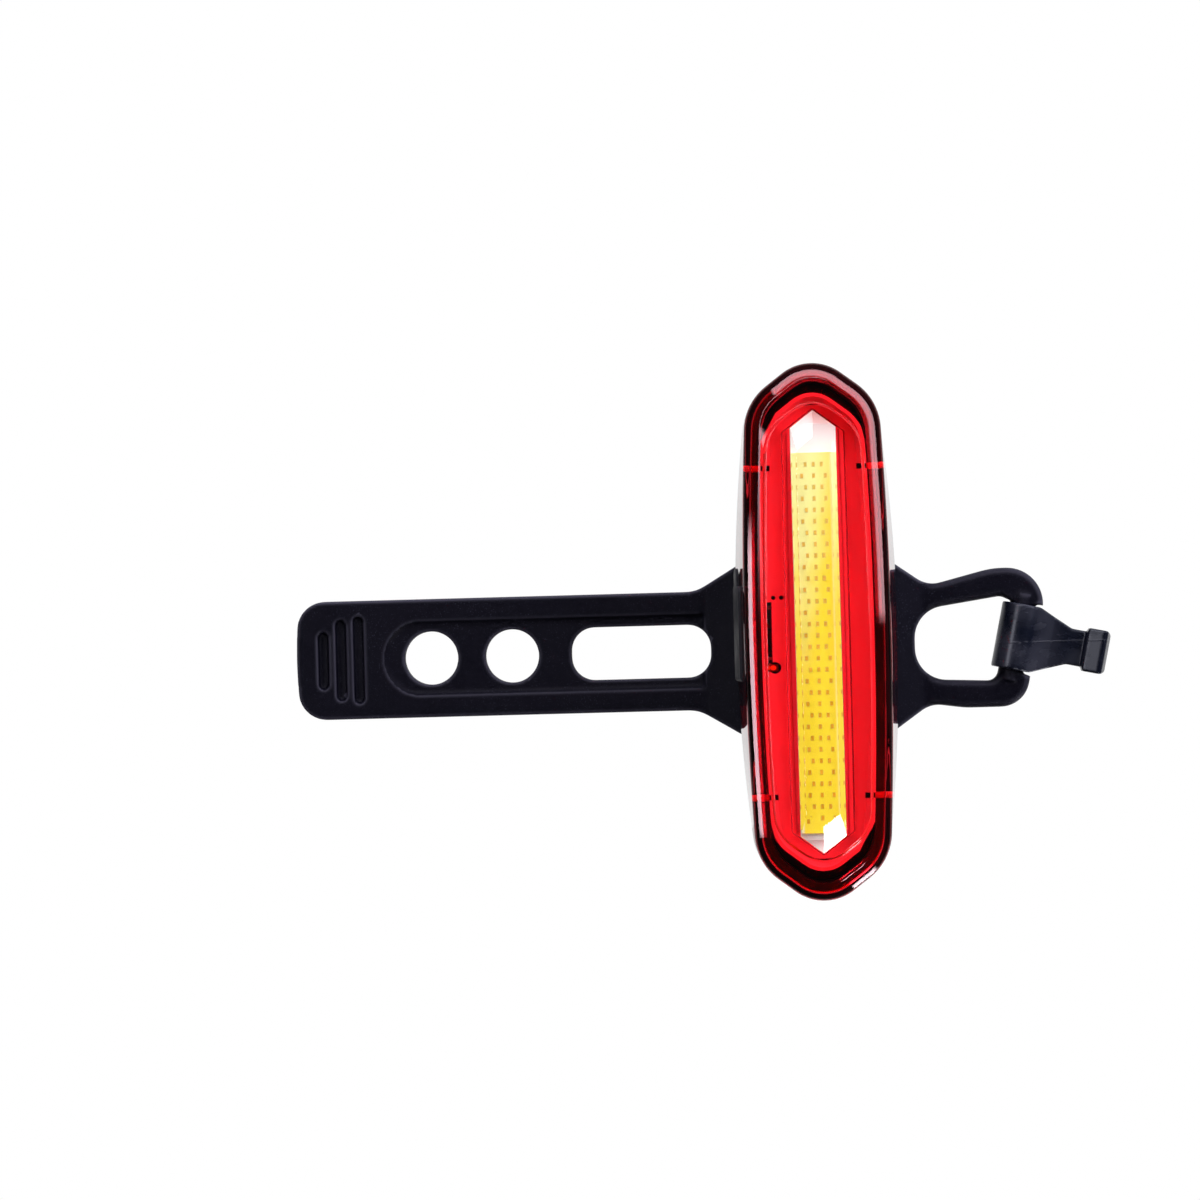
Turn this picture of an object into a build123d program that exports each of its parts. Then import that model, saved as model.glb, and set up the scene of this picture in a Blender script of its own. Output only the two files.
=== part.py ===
from build123d import *

import math
import os

os.makedirs("parts", exist_ok=True)

# Bicycle tail light on a rubber strap, at its real size in millimetres.
# +Z runs up the lamp, +X towards the hook, and the lens faces -Y. The origin is on the axis
# of the quarter-turn fitting, on the face of the pad that rests on the seat post. Depths
# are counted forward from that face, so a depth of 7 lies at y = -7. Heights inside the lamp
# are counted from its middle, which stands above the fitting by the lamp's rise.

# Lamp outline, seen from the front
lamp_length = 75.0
lamp_rise = 2.3
lamp_width = 20.6
lamp_shoulder_width = 18.7
lamp_flank_angle = 37.0
lamp_shoulder_radius = 8.0
lamp_tip_radius = 6.8
lamp_skirt_flare = 1.15

# Smallest length that counts as a difference
tiny = 0.01

# Depths and walls of the lamp
lamp_gap = 0.3
case_depth = 7.5
skirt_depth = 7.8
bevel_depth = 1.8
bevel_width = 2.1
bevel_shoulder_rise = 0.6
bevel_shoulder_inset = 0.3
ledge_rise = 0.15
dome_rise = 0.95
dome_draft = 0.3
crown_rise = 0.8
dome_width = 14.4
dome_end_inset = 6.0
lens_wall = 1.2
crown_wall = 1.9
lens_inner_drop = 0.2
ledge_wall = 1.2
dome_wall = 0.7
case_floor = 1.6
case_back_inset = 3.2
case_front_inset = 0.1
case_section_heights = (0.0, 0.1, 0.3, 0.6, 1.0)
collar_wall = 1.1
collar_height = 6.6
fit_gap = 0.1

# Snap ribs of the lens, seen as four red marks in the dark rim
snap_spacing = 46.0
snap_rib_width = 0.9
snap_rib_height = 2.2

# Seal between lens and case
seal_width = 0.7
seal_height = 0.6
seal_edge = 0.35

# Clear window bar
window_end_inset = 0.8
window_width = 6.3
window_bevel = 0.8
window_end_bevel = 3.8
window_seat = 0.05
window_rise = 0.95
window_flange = 0.9
window_flange_depth = 1.0
window_gap = 0.04

# Reflector tray
tray_end_inset = 4.2
tray_floor = 0.8
tray_wall = 0.5
tray_height = 2.6
tray_slope = 0.6
tray_lift = 0.2
tray_gap = 0.15
tray_slot_width = 0.8
tray_slot_length = 8.6
tray_slot_inset = 4.0
tray_pin_hole = 0.6
tray_pin_spacing = 1.0
tray_notch_length = 0.9
tray_notch_width = 0.8
tray_cut_reach = 3.4
tray_cut_height = 6.5

# Light strip
strip_end_gap = 4.8
strip_board_width = 7.2
strip_board_thickness = 1.0
strip_rail_width = 0.6
strip_rail_height = 0.7
strip_rail_gap = 0.1
phosphor_margin = 2.2
phosphor_width = 5.4
phosphor_thickness = 0.6
phosphor_offset = -1.3
phosphor_corner = 0.4
chip_row_pitch = 1.59
chip_end_margin = 0.9
chip_inner_spacing = 1.13
chip_outer_spacing = 1.65
chip_length = 0.6
chip_width = 0.4
chip_proud = 0.03
chip_gap = 0.02

# Main board and what it carries
board_inset = 3.1
board_thickness = 1.0
board_clearance = 1.2
post_diameter = 4.2
screw_diameter = 2.0
screw_length = 5.0
screw_head_diameter = 3.6
screw_head_height = 1.2
screw_recess_length = 2.1
screw_recess_width = 0.5
screw_recess_depth = 0.6
screw_tip_gap = 0.1
screw_gap = 0.03
upper_post_x = 5.0
post_clearance = 0.6
controller_length = 5.0
controller_width = 4.0
controller_height = 1.2
charger_length = 3.0
charger_width = 3.0
charger_height = 1.0
resistor_length = 1.6
resistor_width = 0.8
resistor_height = 0.5
resistor_pitch = 2.4
capacitor_length = 2.0
capacitor_width = 1.25
capacitor_height = 1.1
capacitor_pitch = 2.8
resistor_count = 4
capacitor_count = 3
indicator_length = 1.2
indicator_width = 1.0
indicator_height = 0.7
indicator_hole = 1.6
indicator_shift = 0.6
indicator_gap = 0.3

controller_x = 2.5
controller_z = -13.0
charger_x = 3.0
charger_z = 8.0
resistor_x = -4.5
resistor_z = 9.0
capacitor_x = -4.0
capacitor_z = -15.0

# Charging socket and its cover
usb_width = 7.6
usb_depth = 5.3
usb_height = 2.6
usb_wall = 0.3
usb_corner = 0.7
usb_tongue_thickness = 0.7
usb_tongue_recess = 1.4
usb_tongue_width = 5.0
usb_mouth_recess = 1.4
usb_hole_gap = 0.35
cover_length = 13.4
cover_width = 4.8
cover_thickness = 1.1
cover_recess = 0.75
cover_gap = 0.15
cover_corner = 0.9
plug_length = 6.2
plug_width = 1.7
plug_corner = 0.4
plug_insert = 1.0
pull_tab_length = 1.2
pull_tab_width = 2.6
pull_tab_thickness = 0.4

# Battery
battery_length = 38.0
battery_width = 13.0
battery_thickness = 5.0
battery_round = 1.2
battery_top = 16.0
foam_thickness = 0.4
foam_margin = 1.0

# Leads
lead_diameter = 0.9
lead_bend = 1.3
lead_rise = 2.0
lead_spacing = 3.0
battery_lead_x = -3.0
strip_lead_jog = 2.5
strip_lead_bend = 0.7
lead_sides = 8
strip_lead_spacing = 2.6
strip_lead_end = 2.4
lead_hole_gap = 0.25

# Push button and its switch
button_height = 26.5
button_diameter = 8.0
button_gap = 0.15
button_proud = 0.6
button_crown = 0.5
button_flange = 0.9
button_flange_thickness = 0.6
button_stem_diameter = 3.0
button_travel = 0.4
switch_size = 6.0
switch_height = 3.5
switch_corner = 0.5
plunger_diameter = 3.4
plunger_height = 1.0
plunger_gap = 0.06
plunger_seat = 0.8

# Quarter-turn fitting between the lamp and the pad
keyhole_diameter = 9.3
boss_gap = 0.08
lug_reach = 0.85
lug_width = 1.1
lug_thickness = 1.3
lug_gap = 0.1
keyhole_notch_width = 1.4
keyhole_notch_reach = 1.0

# Strap
pad_depth = 7.0
pad_width = 21.8
pad_height = 24.4
web_thickness = 3.2
recess_diameter = 19.5
saddle_radius = 15.0
saddle_depth = 2.0
strap_thickness = 2.8
strap_rear = 2.2
strap_width = 17.1
tail_reach = 75.0
tail_corner = 4.1
tail_bulge = 0.3
tail_bulge_round = 30.0
pad_corner = 1.0
flare_reach = 6.2
flare_round = 5.0
loop_flare_reach = 5.4
ramp_reach = 4.6
track_width = 10.7
track_depth = 0.5
track_end = 62.3
track_start = 16.0
groove_width = 1.5
groove_pitch = 2.55
groove_depth = 0.8
groove_lengths = (12.6, 11.7, 8.3)
groove_start = 66.0
hole_diameter = 7.7
hole_positions = (55.5, 43.8)
slot_length = 20.1
slot_width = 7.6
slot_corner = 3.3
slot_end = 15.1

# Loop and its bar
bar_x = 28.9
bar_tilt = 12.0
bar_diameter = 3.6
bar_root = 1.2
loop_neck_width = 17.0
loop_neck_round = 4.0
loop_head_width = 20.0
loop_lift = 0.8
loop_head_x = 25.5
loop_head_round = 12.0
loop_end_margin = 3.0
loop_outer_round = 5.2
loop_lower_round = 4.2
loop_arm_width = 3.8
loop_opening_start = 14.2
loop_opening_start_width = 9.8
loop_opening_round = 4.6
loop_opening_corner = 1.5
loop_edge_round = 0.9

# Hook
sleeve_diameter = 5.8
sleeve_length = 9.5
sleeve_gap = 0.1
sleeve_side_gap = 0.35
sleeve_slit = 2.4
hook_reach = 13.1
hook_arm_thickness = 1.9
hook_neck_width = 5.2
hook_neck_start = 7.6
hook_head_width = 6.3
hook_head_length = 3.2
hook_head_depth = 3.4
hook_head_round = 0.6
hook_head_corner = 1.1
hook_root_round = 0.2
hook_root_front = 0.88
hook_root_rear = 2.7
hook_root_depth = 2.36
hook_slit_turn = 135.0
hook_sag = 0.5
hook_taper_start = 2.6
hook_head_tilt = 14.0
hook_neck_round = 1.0

# Depth stations, all forward of the post face
case_back = pad_depth + lamp_gap
cavity_floor = case_back + case_floor
lens_base = case_back + case_depth
lens_rim = lens_base + skirt_depth
bevel_top = lens_rim + bevel_depth
ledge_front = bevel_top + ledge_rise
dome_edge = ledge_front + dome_rise
crown_top = dome_edge + crown_rise
window_base = crown_top + window_seat
window_top = window_base + window_rise
battery_rear = cavity_floor + foam_thickness
battery_front = battery_rear + battery_thickness
board_rear = battery_front + board_clearance
board_front = board_rear + board_thickness
tray_rear = board_front + usb_height + tray_lift
tray_face = tray_rear + tray_floor
strip_board_front = tray_face + strip_board_thickness
web_rear = pad_depth - web_thickness
strap_front = strap_rear + strap_thickness
bar_depth = strap_rear + strap_thickness / 2
battery_bottom = battery_top - battery_length
collar_inset = lens_wall + fit_gap
cavity_inset = collar_inset + collar_wall
dome_length = lamp_length - 2 * dome_end_inset
window_length = dome_length - 2 * window_end_inset
tray_length = lamp_length - 2 * tray_end_inset
strip_board_length = tray_length - 2 * strip_end_gap
phosphor_length = strip_board_length - 2 * phosphor_margin


def depth(distance):
    """The lamp's plane that faces forward, this far in front of the post face."""
    return Plane(origin=(0, -distance, lamp_rise), x_dir=(1, 0, 0), z_dir=(0, -1, 0))


def side(distance):
    """The lamp's plane that faces +X, this far from its middle plane: x is Y and y is Z."""
    return Plane(origin=(distance, 0, lamp_rise), x_dir=(0, 1, 0), z_dir=(1, 0, 0))


def level(height):
    """The lamp's plane that faces up, this far above its middle."""
    return Plane.XY.offset(lamp_rise + height)


def strap_depth(distance):
    """The strap's and the fitting's plane that faces forward, this far in front of the post face."""
    return Plane.XZ.offset(distance)


def pointed_barrel(length, width, shoulder_width, shoulder_radius, tip_radius):
    """The lamp's outline: bulging sides, two straight flanks at each end and a rounded tip."""
    slope = math.radians(lamp_flank_angle)
    apex = length / 2 + tip_radius * (1 / math.cos(slope) - 1)
    corner_x = shoulder_width / 2
    corner_y = apex - corner_x * math.tan(slope)
    with BuildLine() as outline:
        ThreePointArc((corner_x, -corner_y), (width / 2, 0), (corner_x, corner_y))
        Polyline((corner_x, corner_y), (0, apex), (-corner_x, corner_y))
        ThreePointArc((-corner_x, corner_y), (-width / 2, 0), (-corner_x, -corner_y))
        Polyline((-corner_x, -corner_y), (0, -apex), (corner_x, -corner_y))
    make_face(outline.edges())
    tips = vertices().filter_by(lambda corner: abs(corner.X) < tiny)
    fillet(tips, tip_radius)
    shoulders = vertices().filter_by(lambda corner: abs(corner.X) > corner_x - tiny)
    fillet(shoulders, shoulder_radius)


def lamp_outline(inset, flare=0.0):
    """The lamp's outline moved inward by the inset, with its middle widened by the flare."""
    pointed_barrel(
        lamp_length - 2 * inset,
        lamp_width - 2 * inset + 2 * flare,
        lamp_shoulder_width - 2 * inset,
        lamp_shoulder_radius - inset,
        lamp_tip_radius - inset,
    )


def dome_outline(inset):
    """The edge of the raised dome moved inward by the inset."""
    shoulder_drop = (lamp_width - lamp_shoulder_width) * dome_width / lamp_width
    pointed_barrel(
        dome_length - 2 * inset,
        dome_width - 2 * inset,
        dome_width - shoulder_drop - 2 * inset,
        lamp_shoulder_radius - bevel_width - inset,
        lamp_tip_radius - bevel_width - inset,
    )


def window_outline(length, width, flank_angle=lamp_flank_angle):
    """A hexagon with pointed ends, as long and as wide as given."""
    shoulder = length / 2 - width / 2 * math.tan(math.radians(flank_angle))
    with BuildLine() as outline:
        Polyline(
            (width / 2, -shoulder),
            (width / 2, shoulder),
            (0, length / 2),
            (-width / 2, shoulder),
            (-width / 2, -shoulder),
            (0, -length / 2),
            close=True,
        )
    make_face(outline.edges())


def crown_disc(chord, sideways):
    """A disc whose front edge rises by the crown's height over a chord of the dome."""
    radius = (chord**2 / 4 + crown_rise**2) / (2 * crown_rise)
    centre = radius - crown_top
    with Locations((centre, 0) if sideways else (0, centre)):
        Circle(radius)


def half_width_at(height):
    """The lamp's half width at this height, from the bulge of its sides."""
    slope = math.radians(lamp_flank_angle)
    apex = lamp_length / 2 + lamp_tip_radius * (1 / math.cos(slope) - 1)
    corner = apex - lamp_shoulder_width / 2 * math.tan(slope)
    return lamp_width / 2 - (lamp_width - lamp_shoulder_width) / 2 * (height / corner) ** 2


def tray_outline(inset):
    """The reflector tray's outline, which stops short of the lamp's pointed ends."""
    side = cavity_inset + tray_gap + inset
    pointed_barrel(
        tray_length - 2 * inset,
        lamp_width - 2 * side,
        lamp_shoulder_width - 2 * side,
        lamp_shoulder_radius - side,
        lamp_tip_radius - side,
    )


# Where the inner pieces stand, found once because several pieces share them
strip_lead_z = strip_board_length / 2 - strip_lead_end
strip_lead_foot_z = strip_lead_z - strip_lead_jog
battery_lead_z = battery_top + lead_rise
battery_middle_z = battery_top - battery_length / 2
lower_post = (0.0, battery_bottom - post_diameter / 2 - post_clearance)
upper_post = (upper_post_x, battery_top + post_diameter / 2 + post_clearance)
switch_rear = board_rear - switch_height
plunger_rear = switch_rear - plunger_height
lens_half_width = lamp_width / 2
usb_mouth_x = -(lens_half_width - usb_mouth_recess)
usb_middle_x = usb_mouth_x + usb_depth / 2
usb_centre_depth = board_front + usb_height / 2
skirt_draft = lamp_skirt_flare / skirt_depth
cover_wall_x = lens_half_width + skirt_draft * (lens_rim - usb_centre_depth)
cover_outward = Vector(-1, -skirt_draft, 0).normalized()
cover_wall = Vector(-cover_wall_x, -usb_centre_depth, lamp_rise)
cover_across = Vector(skirt_draft, -1, 0).normalized()
cover_seat = Plane(origin=cover_wall - cover_outward * cover_recess, x_dir=cover_across, z_dir=cover_outward)
hinge_point = cover_wall + cover_outward * (cover_thickness / 2 - cover_recess)
hinge_point -= Vector(0, 0, (cover_length - cover_thickness) / 2)
cover_hinge = Plane(origin=hinge_point, x_dir=cover_outward, z_dir=cover_across)
indicator_spot = (usb_middle_x + indicator_shift, -(usb_width / 2 + indicator_hole / 2 + indicator_gap))
lens_inner_top = crown_top - crown_wall
ledge_inner = ledge_front - ledge_wall
controller_spot = (controller_x, controller_z)
charger_spot = (charger_x, charger_z)
collar_top = lens_base + collar_height

# Front lens: a deep red shell with a rounded bevel, a raised dome and a slot for the window
with BuildPart() as front_lens:
    with BuildSketch(depth(lens_base)):
        lamp_outline(0, lamp_skirt_flare)
    with BuildSketch(depth(lens_rim)):
        lamp_outline(0)
    with BuildSketch(depth(lens_rim + bevel_depth * bevel_shoulder_rise)):
        lamp_outline(bevel_width * bevel_shoulder_inset)
    with BuildSketch(depth(bevel_top)):
        lamp_outline(bevel_width)
    with BuildSketch(depth(ledge_front)):
        dome_outline(-dome_draft)
    with BuildSketch(depth(dome_edge)):
        dome_outline(0)
    loft(ruled=True)
    with BuildSketch(depth(dome_edge)):
        dome_outline(0)
    extrude(amount=crown_rise)
    with BuildSketch(level(0)):
        crown_disc(dome_width, sideways=False)
    extrude(amount=lamp_length, both=True, mode=Mode.INTERSECT)
    with BuildSketch(side(0)):
        crown_disc(dome_length, sideways=True)
    extrude(amount=lamp_width, both=True, mode=Mode.INTERSECT)
    with BuildSketch(depth(lens_base)):
        lamp_outline(lens_wall, lamp_skirt_flare)
    with BuildSketch(depth(lens_rim - lens_inner_drop)):
        lamp_outline(lens_wall)
    with BuildSketch(depth(ledge_inner)):
        lamp_outline(lens_wall + bevel_width * bevel_shoulder_inset)
    loft(ruled=True, mode=Mode.SUBTRACT)
    with BuildSketch(depth(ledge_inner)):
        dome_outline(dome_wall - dome_draft)
    with BuildSketch(depth(lens_inner_top)):
        dome_outline(dome_wall)
    loft(ruled=True, mode=Mode.SUBTRACT)
    with BuildSketch(depth(lens_inner_top)):
        window_outline(window_length + 2 * window_gap, window_width + 2 * window_gap)
    extrude(amount=crown_wall + window_rise, mode=Mode.SUBTRACT)
    rib_span = 2 * half_width_at(snap_spacing / 2) - lens_wall
    with BuildSketch(depth(collar_top)):
        with GridLocations(0, snap_spacing, 1, 2):
            Rectangle(rib_span, snap_rib_width)
    extrude(amount=-snap_rib_height)
    with BuildSketch(depth(collar_top)):
        lamp_outline(cavity_inset)
    extrude(amount=-snap_rib_height, mode=Mode.SUBTRACT)
    with BuildSketch(cover_seat):
        Rectangle(cover_width + 2 * cover_gap, cover_length + 2 * cover_gap)
        fillet(vertices().group_by(Axis.Y)[-1], cover_corner)
    extrude(amount=cover_thickness + cover_recess, mode=Mode.SUBTRACT)
    with BuildSketch(side(0)):
        with Locations((-usb_centre_depth, 0)):
            Rectangle(usb_height + 2 * usb_hole_gap, usb_width + 2 * usb_hole_gap)
    extrude(amount=-lamp_width, mode=Mode.SUBTRACT)
front_lens.part.label = "front_lens"

# Light window: a clear bar with bevelled sides, two facets at each end and a flange behind
with BuildPart() as light_window:
    with BuildSketch(depth(lens_inner_top - window_flange_depth)):
        window_outline(window_length, window_width + 2 * window_flange)
    extrude(amount=window_flange_depth)
    with BuildSketch(depth(lens_inner_top)):
        window_outline(window_length, window_width)
    extrude(amount=window_base - lens_inner_top)
    with BuildSketch(depth(window_base)):
        window_outline(window_length, window_width)
    with BuildSketch(depth(window_top)):
        window_outline(window_length - 2 * window_end_bevel, window_width - 2 * window_bevel)
    loft(ruled=True)
light_window.part.label = "light_window"

# Seal ring: a flat rubber ring in the case's ledge, pressed by the lens
with BuildPart() as seal_ring:
    with BuildSketch(depth(lens_base - seal_height)):
        lamp_outline(seal_edge, lamp_skirt_flare)
    extrude(amount=seal_height)
    with BuildSketch(depth(lens_base - seal_height)):
        lamp_outline(seal_edge + seal_width, lamp_skirt_flare)
    extrude(amount=seal_height, mode=Mode.SUBTRACT)
seal_ring.part.label = "seal_ring"

# Rear case: a rounded bowl, a collar inside the lens, two posts and the boss with its lugs
with BuildPart() as rear_case:
    for height in case_section_heights:
        with BuildSketch(depth(case_back + height * case_depth)):
            rounding = 1 - math.sqrt(1 - (1 - height) ** 2)
            lamp_outline(
                case_front_inset + (case_back_inset - case_front_inset) * rounding,
                lamp_skirt_flare * height,
            )
    loft(ruled=True)
    with BuildSketch(depth(lens_base)):
        lamp_outline(collar_inset)
    extrude(amount=collar_height)
    with BuildSketch(depth(cavity_floor)):
        lamp_outline(cavity_inset)
    extrude(amount=collar_top - cavity_floor, mode=Mode.SUBTRACT)
    add(seal_ring.part, mode=Mode.SUBTRACT)
    with BuildSketch(depth(cavity_floor)):
        with Locations(lower_post, upper_post):
            Circle(post_diameter / 2)
    extrude(amount=board_rear - cavity_floor)
    with BuildSketch(depth(board_rear)):
        with Locations(lower_post, upper_post):
            Circle(screw_diameter / 2 + screw_gap)
    extrude(amount=-(screw_length - board_thickness + screw_tip_gap), mode=Mode.SUBTRACT)
    with BuildSketch(strap_depth(case_back)):
        Circle(keyhole_diameter / 2 - boss_gap)
    extrude(amount=-(case_back - web_rear + lug_gap + lug_thickness))
    with BuildSketch(strap_depth(web_rear - lug_gap)):
        SlotOverall(keyhole_diameter - 2 * boss_gap + 2 * lug_reach, lug_width)
    extrude(amount=-lug_thickness)
    with BuildSketch(depth(case_back)):
        with Locations((0, button_height)):
            Circle(button_diameter / 2 + button_gap)
    extrude(amount=case_floor, mode=Mode.SUBTRACT)
    with BuildSketch(side(0)):
        with Locations((-usb_centre_depth, 0)):
            Rectangle(usb_height + 2 * usb_hole_gap, usb_width + 2 * usb_hole_gap)
    extrude(amount=-lamp_width, mode=Mode.SUBTRACT)
    with BuildSketch(depth(collar_top)):
        with GridLocations(0, snap_spacing, 1, 2):
            Rectangle(lamp_width, snap_rib_width + 2 * fit_gap)
    extrude(amount=-(snap_rib_height + fit_gap), mode=Mode.SUBTRACT)
rear_case.part.label = "rear_case"

# Battery cell: a pouch with rounded long edges, on a foam pad stuck to the case floor
with BuildPart() as battery_cell:
    with BuildSketch(level(battery_bottom)):
        with Locations((0, -(battery_rear + battery_thickness / 2))):
            RectangleRounded(battery_width, battery_thickness, battery_round)
    extrude(amount=battery_length)
battery_cell.part.label = "battery_cell"

with BuildPart() as battery_foam_pad:
    with BuildSketch(depth(cavity_floor)):
        with Locations((0, battery_middle_z)):
            Rectangle(battery_width - 2 * foam_margin, battery_length - 2 * foam_margin)
    extrude(amount=foam_thickness)
battery_foam_pad.part.label = "battery_foam_pad"

# Circuit board: follows the inside of the case, with two screw holes
with BuildPart() as circuit_board:
    with BuildSketch(depth(board_rear)):
        lamp_outline(board_inset)
        with Locations(lower_post, upper_post):
            Circle(screw_diameter / 2 + fit_gap, mode=Mode.SUBTRACT)
    extrude(amount=board_thickness)
circuit_board.part.label = "circuit_board"

# Board screws: two pan-head screws into the posts, with a cross recess
with BuildPart() as board_screws:
    with BuildSketch(depth(board_front)):
        with Locations(lower_post, upper_post):
            Circle(screw_head_diameter / 2)
    extrude(amount=screw_head_height)
    with BuildSketch(depth(board_front)):
        with Locations(lower_post, upper_post):
            Circle(screw_diameter / 2)
    extrude(amount=-screw_length)
    with BuildSketch(depth(board_front + screw_head_height)):
        with Locations(lower_post, upper_post):
            Rectangle(screw_recess_length, screw_recess_width)
            Rectangle(screw_recess_width, screw_recess_length)
    extrude(amount=-screw_recess_depth, mode=Mode.SUBTRACT)
board_screws.part.label = "board_screws"


def chip(length, width, height, places):
    """Small rectangular parts of one size that stand on the front of the circuit board."""
    with BuildPart() as body:
        with BuildSketch(depth(board_front)):
            with Locations(*places):
                Rectangle(width, length)
        extrude(amount=height)
    return body


controller_chip = chip(controller_length, controller_width, controller_height, [controller_spot])
controller_chip.part.label = "controller_chip"

charger_chip = chip(charger_length, charger_width, charger_height, [charger_spot])
charger_chip.part.label = "charger_chip"

resistor_spots = [(resistor_x, resistor_z + index * resistor_pitch) for index in range(resistor_count)]
chip_resistors = chip(resistor_length, resistor_width, resistor_height, resistor_spots)
chip_resistors.part.label = "chip_resistors"

capacitor_spots = [(capacitor_x, capacitor_z + index * capacitor_pitch) for index in range(capacitor_count)]
chip_capacitors = chip(capacitor_length, capacitor_width, capacitor_height, capacitor_spots)
chip_capacitors.part.label = "chip_capacitors"

indicator_led = chip(indicator_width, indicator_length, indicator_height, [indicator_spot])
indicator_led.part.label = "indicator_led"

# Charging socket: a thin metal shell open at the side wall, with a tongue inside
with BuildPart() as usb_shell:
    with BuildSketch(side(usb_mouth_x)):
        with Locations((-usb_centre_depth, 0)):
            RectangleRounded(usb_height, usb_width, usb_corner)
            RectangleRounded(
                usb_height - 2 * usb_wall,
                usb_width - 2 * usb_wall,
                usb_corner - usb_wall,
                mode=Mode.SUBTRACT,
            )
    extrude(amount=usb_depth)
    with BuildSketch(side(usb_mouth_x + usb_depth - usb_wall)):
        with Locations((-usb_centre_depth, 0)):
            Rectangle(usb_height - usb_wall, usb_width - usb_wall)
    extrude(amount=usb_wall)
usb_shell.part.label = "usb_shell"

with BuildPart() as usb_tongue:
    with BuildSketch(side(usb_mouth_x + usb_tongue_recess)):
        with Locations((-usb_centre_depth, 0)):
            Rectangle(usb_tongue_thickness, usb_tongue_width)
    extrude(amount=usb_depth - usb_tongue_recess - usb_wall)
usb_tongue.part.label = "usb_tongue"

# Socket cover: a rubber flap that turns on its rounded lower end, with a plug and a pull tab
with BuildPart() as usb_cover:
    with BuildSketch(cover_seat):
        with Locations((0, cover_thickness / 4)):
            Rectangle(cover_width, cover_length - cover_thickness / 2)
        fillet(vertices().group_by(Axis.Y)[-1], cover_corner)
    extrude(amount=cover_thickness)
    with BuildSketch(cover_hinge):
        Circle(cover_thickness / 2)
    extrude(amount=cover_width / 2, both=True)
    with BuildSketch(side(usb_mouth_x + plug_insert)):
        with Locations((-usb_centre_depth, 0)):
            RectangleRounded(plug_width, plug_length, plug_corner)
    extrude(amount=hinge_point.X - usb_mouth_x - plug_insert)
    with BuildSketch(cover_seat.offset(cover_thickness - pull_tab_thickness)):
        with Locations((0, cover_length / 2)):
            SlotOverall(2 * pull_tab_length + pull_tab_width, pull_tab_width, rotation=90)
    extrude(amount=pull_tab_thickness)
usb_cover.part.label = "usb_cover"

# Tact switch on the back of the board: a square body and a round plunger
with BuildPart() as tact_switch_body:
    with BuildSketch(depth(board_rear)):
        with Locations((0, button_height)):
            RectangleRounded(switch_size, switch_size, switch_corner)
    extrude(amount=-switch_height)
    with BuildSketch(depth(switch_rear)):
        with Locations((0, button_height)):
            Circle(plunger_diameter / 2 + plunger_gap)
    extrude(amount=plunger_seat + button_travel + plunger_gap, mode=Mode.SUBTRACT)
tact_switch_body.part.label = "tact_switch_body"

with BuildPart() as tact_switch_plunger:
    with BuildSketch(depth(plunger_rear)):
        with Locations((0, button_height)):
            Circle(plunger_diameter / 2)
    extrude(amount=plunger_height + plunger_seat)
tact_switch_plunger.part.label = "tact_switch_plunger"

# Push button: a crowned rubber cap in the case floor, its flange inside and a stem to the switch
with BuildPart() as push_button:
    with BuildSketch(depth(case_back - button_proud)):
        with Locations((0, button_height)):
            Circle(button_diameter / 2)
    extrude(amount=cavity_floor + button_gap / 2 - case_back + button_proud)
    with BuildSketch(depth(cavity_floor + button_gap / 2)):
        with Locations((0, button_height)):
            Circle(button_diameter / 2 + button_flange)
    extrude(amount=button_flange_thickness)
    with BuildSketch(depth(cavity_floor + button_gap / 2 + button_flange_thickness)):
        with Locations((0, button_height)):
            Circle(button_stem_diameter / 2)
    extrude(amount=plunger_rear - cavity_floor - button_gap / 2 - button_flange_thickness)
    crown_radius = (button_diameter**2 / 4 + button_crown**2) / (2 * button_crown)
    with Locations((0, -(case_back - button_proud + crown_radius), lamp_rise + button_height)):
        Sphere(crown_radius, mode=Mode.INTERSECT)
push_button.part.label = "push_button"

# Light strip: a narrow board, a phosphor strip and the dies that show through it
with BuildPart() as led_board:
    with BuildSketch(depth(tray_face)):
        Rectangle(strip_board_width, strip_board_length)
    extrude(amount=strip_board_thickness)
led_board.part.label = "led_board"

chip_rows = 2 * int((phosphor_length - 2 * chip_end_margin + chip_row_pitch) / (2 * chip_row_pitch))
chip_grids = [
    (phosphor_offset + chip_row_pitch / 2, chip_inner_spacing, chip_rows // 2),
    (phosphor_offset - chip_row_pitch / 2, chip_outer_spacing, chip_rows // 2),
]
with BuildPart() as led_chips:
    with BuildSketch(depth(strip_board_front)):
        for middle, spacing, rows in chip_grids:
            with Locations((0, middle)):
                with GridLocations(spacing, 2 * chip_row_pitch, 3, rows):
                    Rectangle(chip_width, chip_length)
    extrude(amount=phosphor_thickness + chip_proud)
led_chips.part.label = "led_chips"

with BuildPart() as led_phosphor:
    with BuildSketch(depth(strip_board_front)):
        with Locations((0, phosphor_offset)):
            RectangleRounded(phosphor_width, phosphor_length, phosphor_corner)
        for middle, spacing, rows in chip_grids:
            with Locations((0, middle)):
                with GridLocations(spacing, 2 * chip_row_pitch, 3, rows):
                    Rectangle(chip_width + 2 * chip_gap, chip_length + 2 * chip_gap, mode=Mode.SUBTRACT)
    extrude(amount=phosphor_thickness)
led_phosphor.part.label = "led_phosphor"

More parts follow.
